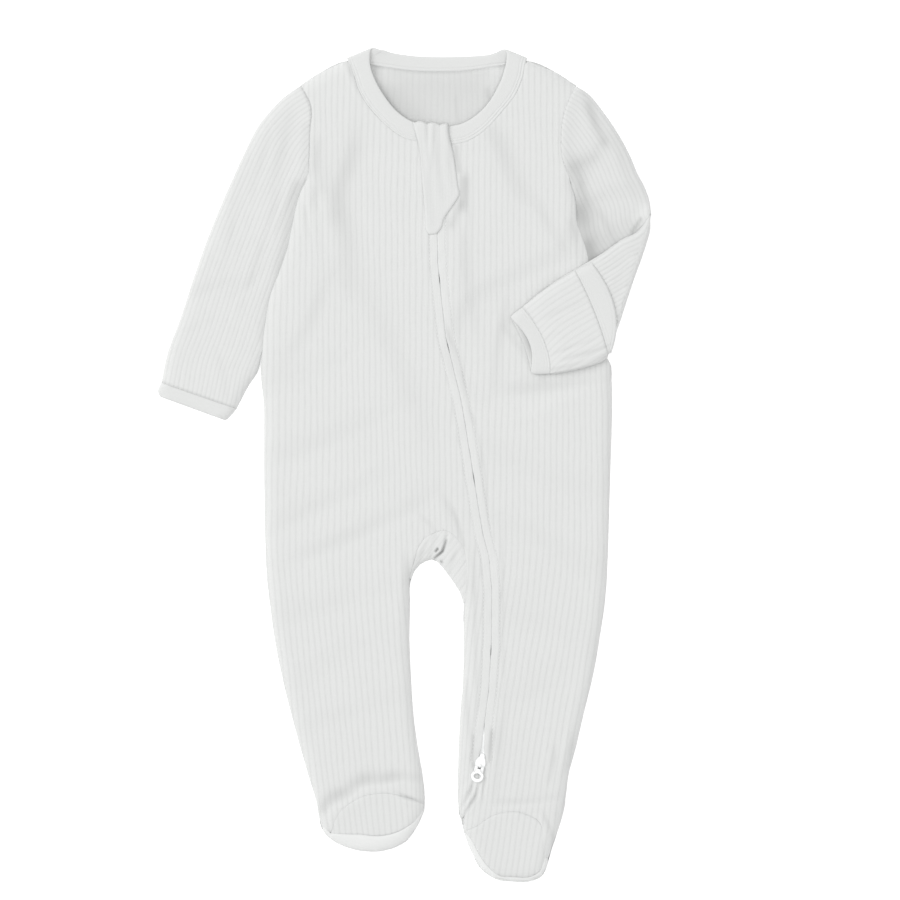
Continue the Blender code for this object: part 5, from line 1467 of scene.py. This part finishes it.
for hand, sign in (("left", -1.0), ("right", 1.0)):
    offsets = np.sort(sign * np.linspace(*TAPE_REACH, 12))
    tape = zip_strip(f"zip_tape_{hand}_woven", offsets, TAPE_END, 2.0,
                     lambda across, along: 0.05 * np.sin(across * 4.0) + 0.0 * along, 0.7, 0.7,
                     tape_look, f"zip_tape_{hand}")
zip_strip("zip_chain_coil", np.linspace(-CHAIN_HALF, CHAIN_HALF, 10), CHAIN_END, 0.375, coil,
          1.0, 1.7, nylon, "zip_chain")


def weld(grids):
    """One set of points and quads from closed grids, each turned to face outwards by the sign
    of its volume, with points that share a place made one."""
    points, quads, base = [], [], 0
    for grid in grids:
        flat, faces = grid.reshape(-1, 3), grid_quads(*grid.shape[:2])
        a, b, c, d = (flat[faces[:, k]] for k in range(4))
        volume = (np.cross(a, b) * c).sum() + (np.cross(a, c) * d).sum()
        quads.append((faces[:, ::-1] if volume < 0.0 else faces) + base)
        points.append(flat)
        base += len(flat)
    points, quads = np.concatenate(points), np.concatenate(quads)
    _, first, place = np.unique(np.round(points, 4), axis=0, return_index=True,
                                return_inverse=True)
    return points[first], place.ravel()[quads]


def stitches(name, lines, pitch, length, radius):
    """A row of stitches on each line: spindles whose thickness is a half ellipse along them."""
    t, a = np.linspace(-1.0, 1.0, 5)[:, None], np.linspace(0.0, 2 * np.pi, 7)[None, :]
    thick = radius * np.sqrt(1.0 - t * t)
    grids = []
    for line in lines:
        reach = running(line)
        centres = np.arange(pitch / 2, reach[-1], pitch)
        start, end = (
            np.stack([np.interp(centres + shift, reach, column) for column in line.T], axis=-1)
            for shift in (-length / 2, length / 2)
        )
        side = np.cross(unit(end - start), (0.0, 0.0, 1.0))[:, None, None]
        centre, half = (((end + k * start) / 2)[:, None, None] for k in (1.0, -1.0))
        grids.extend(centre + t[..., None] * half + (thick * np.cos(a))[..., None] * side
                     + (thick * np.sin(a))[..., None] * np.array([0.0, 0.0, 1.0]))
    made = mesh_piece(name, *weld(grids), thread)
    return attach(made, "garment")


# Spun polyester thread: a fine matt cord with a trace of gloss.
thread = grained(
    "spun_polyester_thread", THREAD_COLOUR, {"Roughness": 0.75, "IOR": 1.55, "Sheen Weight": 0.15},
    "ShaderNodeTexNoise", {"Scale": 2500.0}, 0.3, 0.00005)

STITCHED = (206.0, -199.5)      # y where the rows of stitches beside the zip start and end
y = np.arange(*STITCHED, -1.0)
middle, half = zip_x(y)
zip_lines = []
for sign in (-1.0, 1.0):
    plan = np.stack([middle + sign * (half + PLACKET), y], axis=-1)
    zip_lines.append(lift(plan, front_height(plan) + 0.06))
bar = np.linspace(zip_lines[0][-1], zip_lines[1][-1], 14)
zip_lines.append(lift(bar, front_height(bar) + 0.1))
stitches("zip_stitching", zip_lines, 2.6, 2.0, 0.2)

# ---- slider and pull: die-cast zinc with white enamel, at the lower end of the zip. The slider
# is two wings joined by a core, and the pull hangs from the arch on the upper one. ----

HINGE, HINGE_Z = (49.7, -201.9), 6.8
SLIDER_LEAN = np.radians(-14.0)
LOWER_WING_Z, UPPER_WING_Z = (1.8, 2.6), (5.2, 6.2)
LOWER_SCALE = 0.93
#   x, y of the wings' outline, from the hinge
WING = [
    (0, 8.6), (-1.2, 8.1), (-1.8, 6.2), (-2.7, 4.6), (-3.3, 2.6), (-3.4, 1), (-2.8, -0.3),
    (0, -0.8), (2.8, -0.3), (3.4, 1), (3.3, 2.6), (2.7, 4.6), (1.8, 6.2), (1.2, 8.1),
    (0, 8.6),
]
CORE = [(0, 6.6), (-1.3, 5.6), (-1.3, -0.8), (0, -1.4), (1.3, -0.8), (1.3, 5.6), (0, 6.6)]
PULL_HALF = 0.45
PULL_RING, PULL_RADIUS, PULL_HOLE = 6.9, 4.2, (2.35, 1.75)
ENAMEL = "#f7f8f8"

# White enamel on cast zinc: a smooth, hard coat over a faintly uneven casting.
enamel = grained(
    "white_enamelled_zinc", ENAMEL,
    {"Roughness": 0.32, "IOR": 1.52, "Coat Weight": 0.4, "Coat Roughness": 0.15},
    "ShaderNodeTexNoise", {"Scale": 420.0, "Detail": 2.0}, 0.12, 0.0001)


def plate(outline, low, high, round_edge, crown=0.0):
    """A plate from a closed outline: quarter rounds at its edges, and a top raised as a dome."""
    line = resample(outline, 49)
    line[-1] = line[0]
    run = unit(np.gradient(np.concatenate([line[-2:-1], line, line[1:2]]), axis=0)[1:-1])
    out = np.stack([run[:, 1], -run[:, 0]], axis=-1)
    if (out * (line - line.mean(axis=0))).sum() < 0.0:
        out = -out
    turn = np.linspace(0.0, np.pi / 2, 5)
    inset = round_edge * np.r_[1 - np.sin(turn), 1 - np.cos(turn)]
    level = np.r_[low + round_edge * (1 - np.cos(turn)), high - round_edge * (1 - np.sin(turn))]
    rings = [lift(line - out * d, z) for d, z in zip(inset, level)]
    heart = line[:-1].mean(axis=0)
    inner_rings = [lift(heart + (line - heart) * k, high + crown * (1 - k * k))
                   for k in (0.75, 0.5, 0.25, 0.0)]
    return np.array([lift(heart + 0.0 * line, low)] + rings + inner_rings)


def signed_power(value, power):
    """The power of a value's size, with its sign kept."""
    return np.sign(value) * np.abs(value) ** power


def rod(path, side, wide, high):
    """A rod along a path: superellipse sections across a fixed side direction, closed ends."""
    path, side = np.asarray(path, float)[:, None], np.asarray(side, float)
    up = np.cross(unit(np.gradient(path, axis=0)), side)
    a = np.linspace(0.0, 2 * np.pi, 17)[:, None]
    body = path + wide * signed_power(np.cos(a), 0.6) * side + high * signed_power(
        np.sin(a), 0.6) * up
    return np.concatenate([body[:1] * 0.0 + path[:1], body, body[-1:] * 0.0 + path[-1:]])


def at_hinge(grids):
    """Grids drawn about the hinge, leaned with the zip and moved to their place."""
    c, s = np.cos(SLIDER_LEAN), np.sin(SLIDER_LEAN)
    turn = np.array([[c, s, 0.0], [-s, c, 0.0], [0.0, 0.0, 1.0]])
    return [grid @ turn + (*HINGE, 0.0) for grid in grids]


arc = np.linspace(0.0, np.pi, 17)
arch = np.stack([0.0 * arc, 0.4 + 1.15 * np.cos(arc), 5.6 + 2.35 * np.sin(arc) ** 0.7], axis=-1)
parts = [
    plate(WING, *UPPER_WING_Z, 0.35, 0.08),
    plate(np.array(WING) * LOWER_SCALE, *LOWER_WING_Z, 0.3),
    plate(CORE, LOWER_WING_Z[1] - 0.4, UPPER_WING_Z[0] + 0.4, 0.1),
    rod(arch, (1.0, 0.0, 0.0), 0.7, 0.28),
]
slider = mesh_piece("slider_enamelled", *weld(at_hinge(parts)), enamel)
stand_in(slider, "zip_slider")

a, b = np.meshgrid(np.linspace(0.0, 2 * np.pi, 57), np.linspace(0.0, 2 * np.pi, 17),
                   indexing="ij")
hole = 1.0 / np.sqrt((np.cos(a) / PULL_HOLE[0]) ** 2 + (np.sin(a) / PULL_HOLE[1]) ** 2)
radius = hole + (PULL_RADIUS - hole) * (0.5 + 0.5 * signed_power(np.cos(b), 0.7))
level = HINGE_Z + PULL_HALF * signed_power(np.sin(b), 0.5)
loop = np.stack([radius * np.cos(a), radius * np.sin(a) - PULL_RING, level], axis=-1)
legs = [rod([(k * 2.0, 0.0, HINGE_Z), (k * 2.05, -1.4, HINGE_Z), (k * 2.35, -4.8, HINGE_Z)],
            (0.99, 0.09 * k, 0.0), 1.1, PULL_HALF) for k in (-1.0, 1.0)]
#   the pin through the arch, and the bar below it: half length, y, half width, half thickness
bars = [rod([(x, y, HINGE_Z) for x in (-reach, 0.0, reach)], (0.0, 1.0, 0.0), wide, high)
        for reach, y, wide, high in [(2.05, 0.0, 0.28, 0.28), (2.0, -3.05, 1.15, PULL_HALF)]]
pull = mesh_piece("pull_enamelled", *weld(at_hinge([loop, *legs, *bars])), enamel)
stand_in(pull, "zip_pull", "pull_tab")
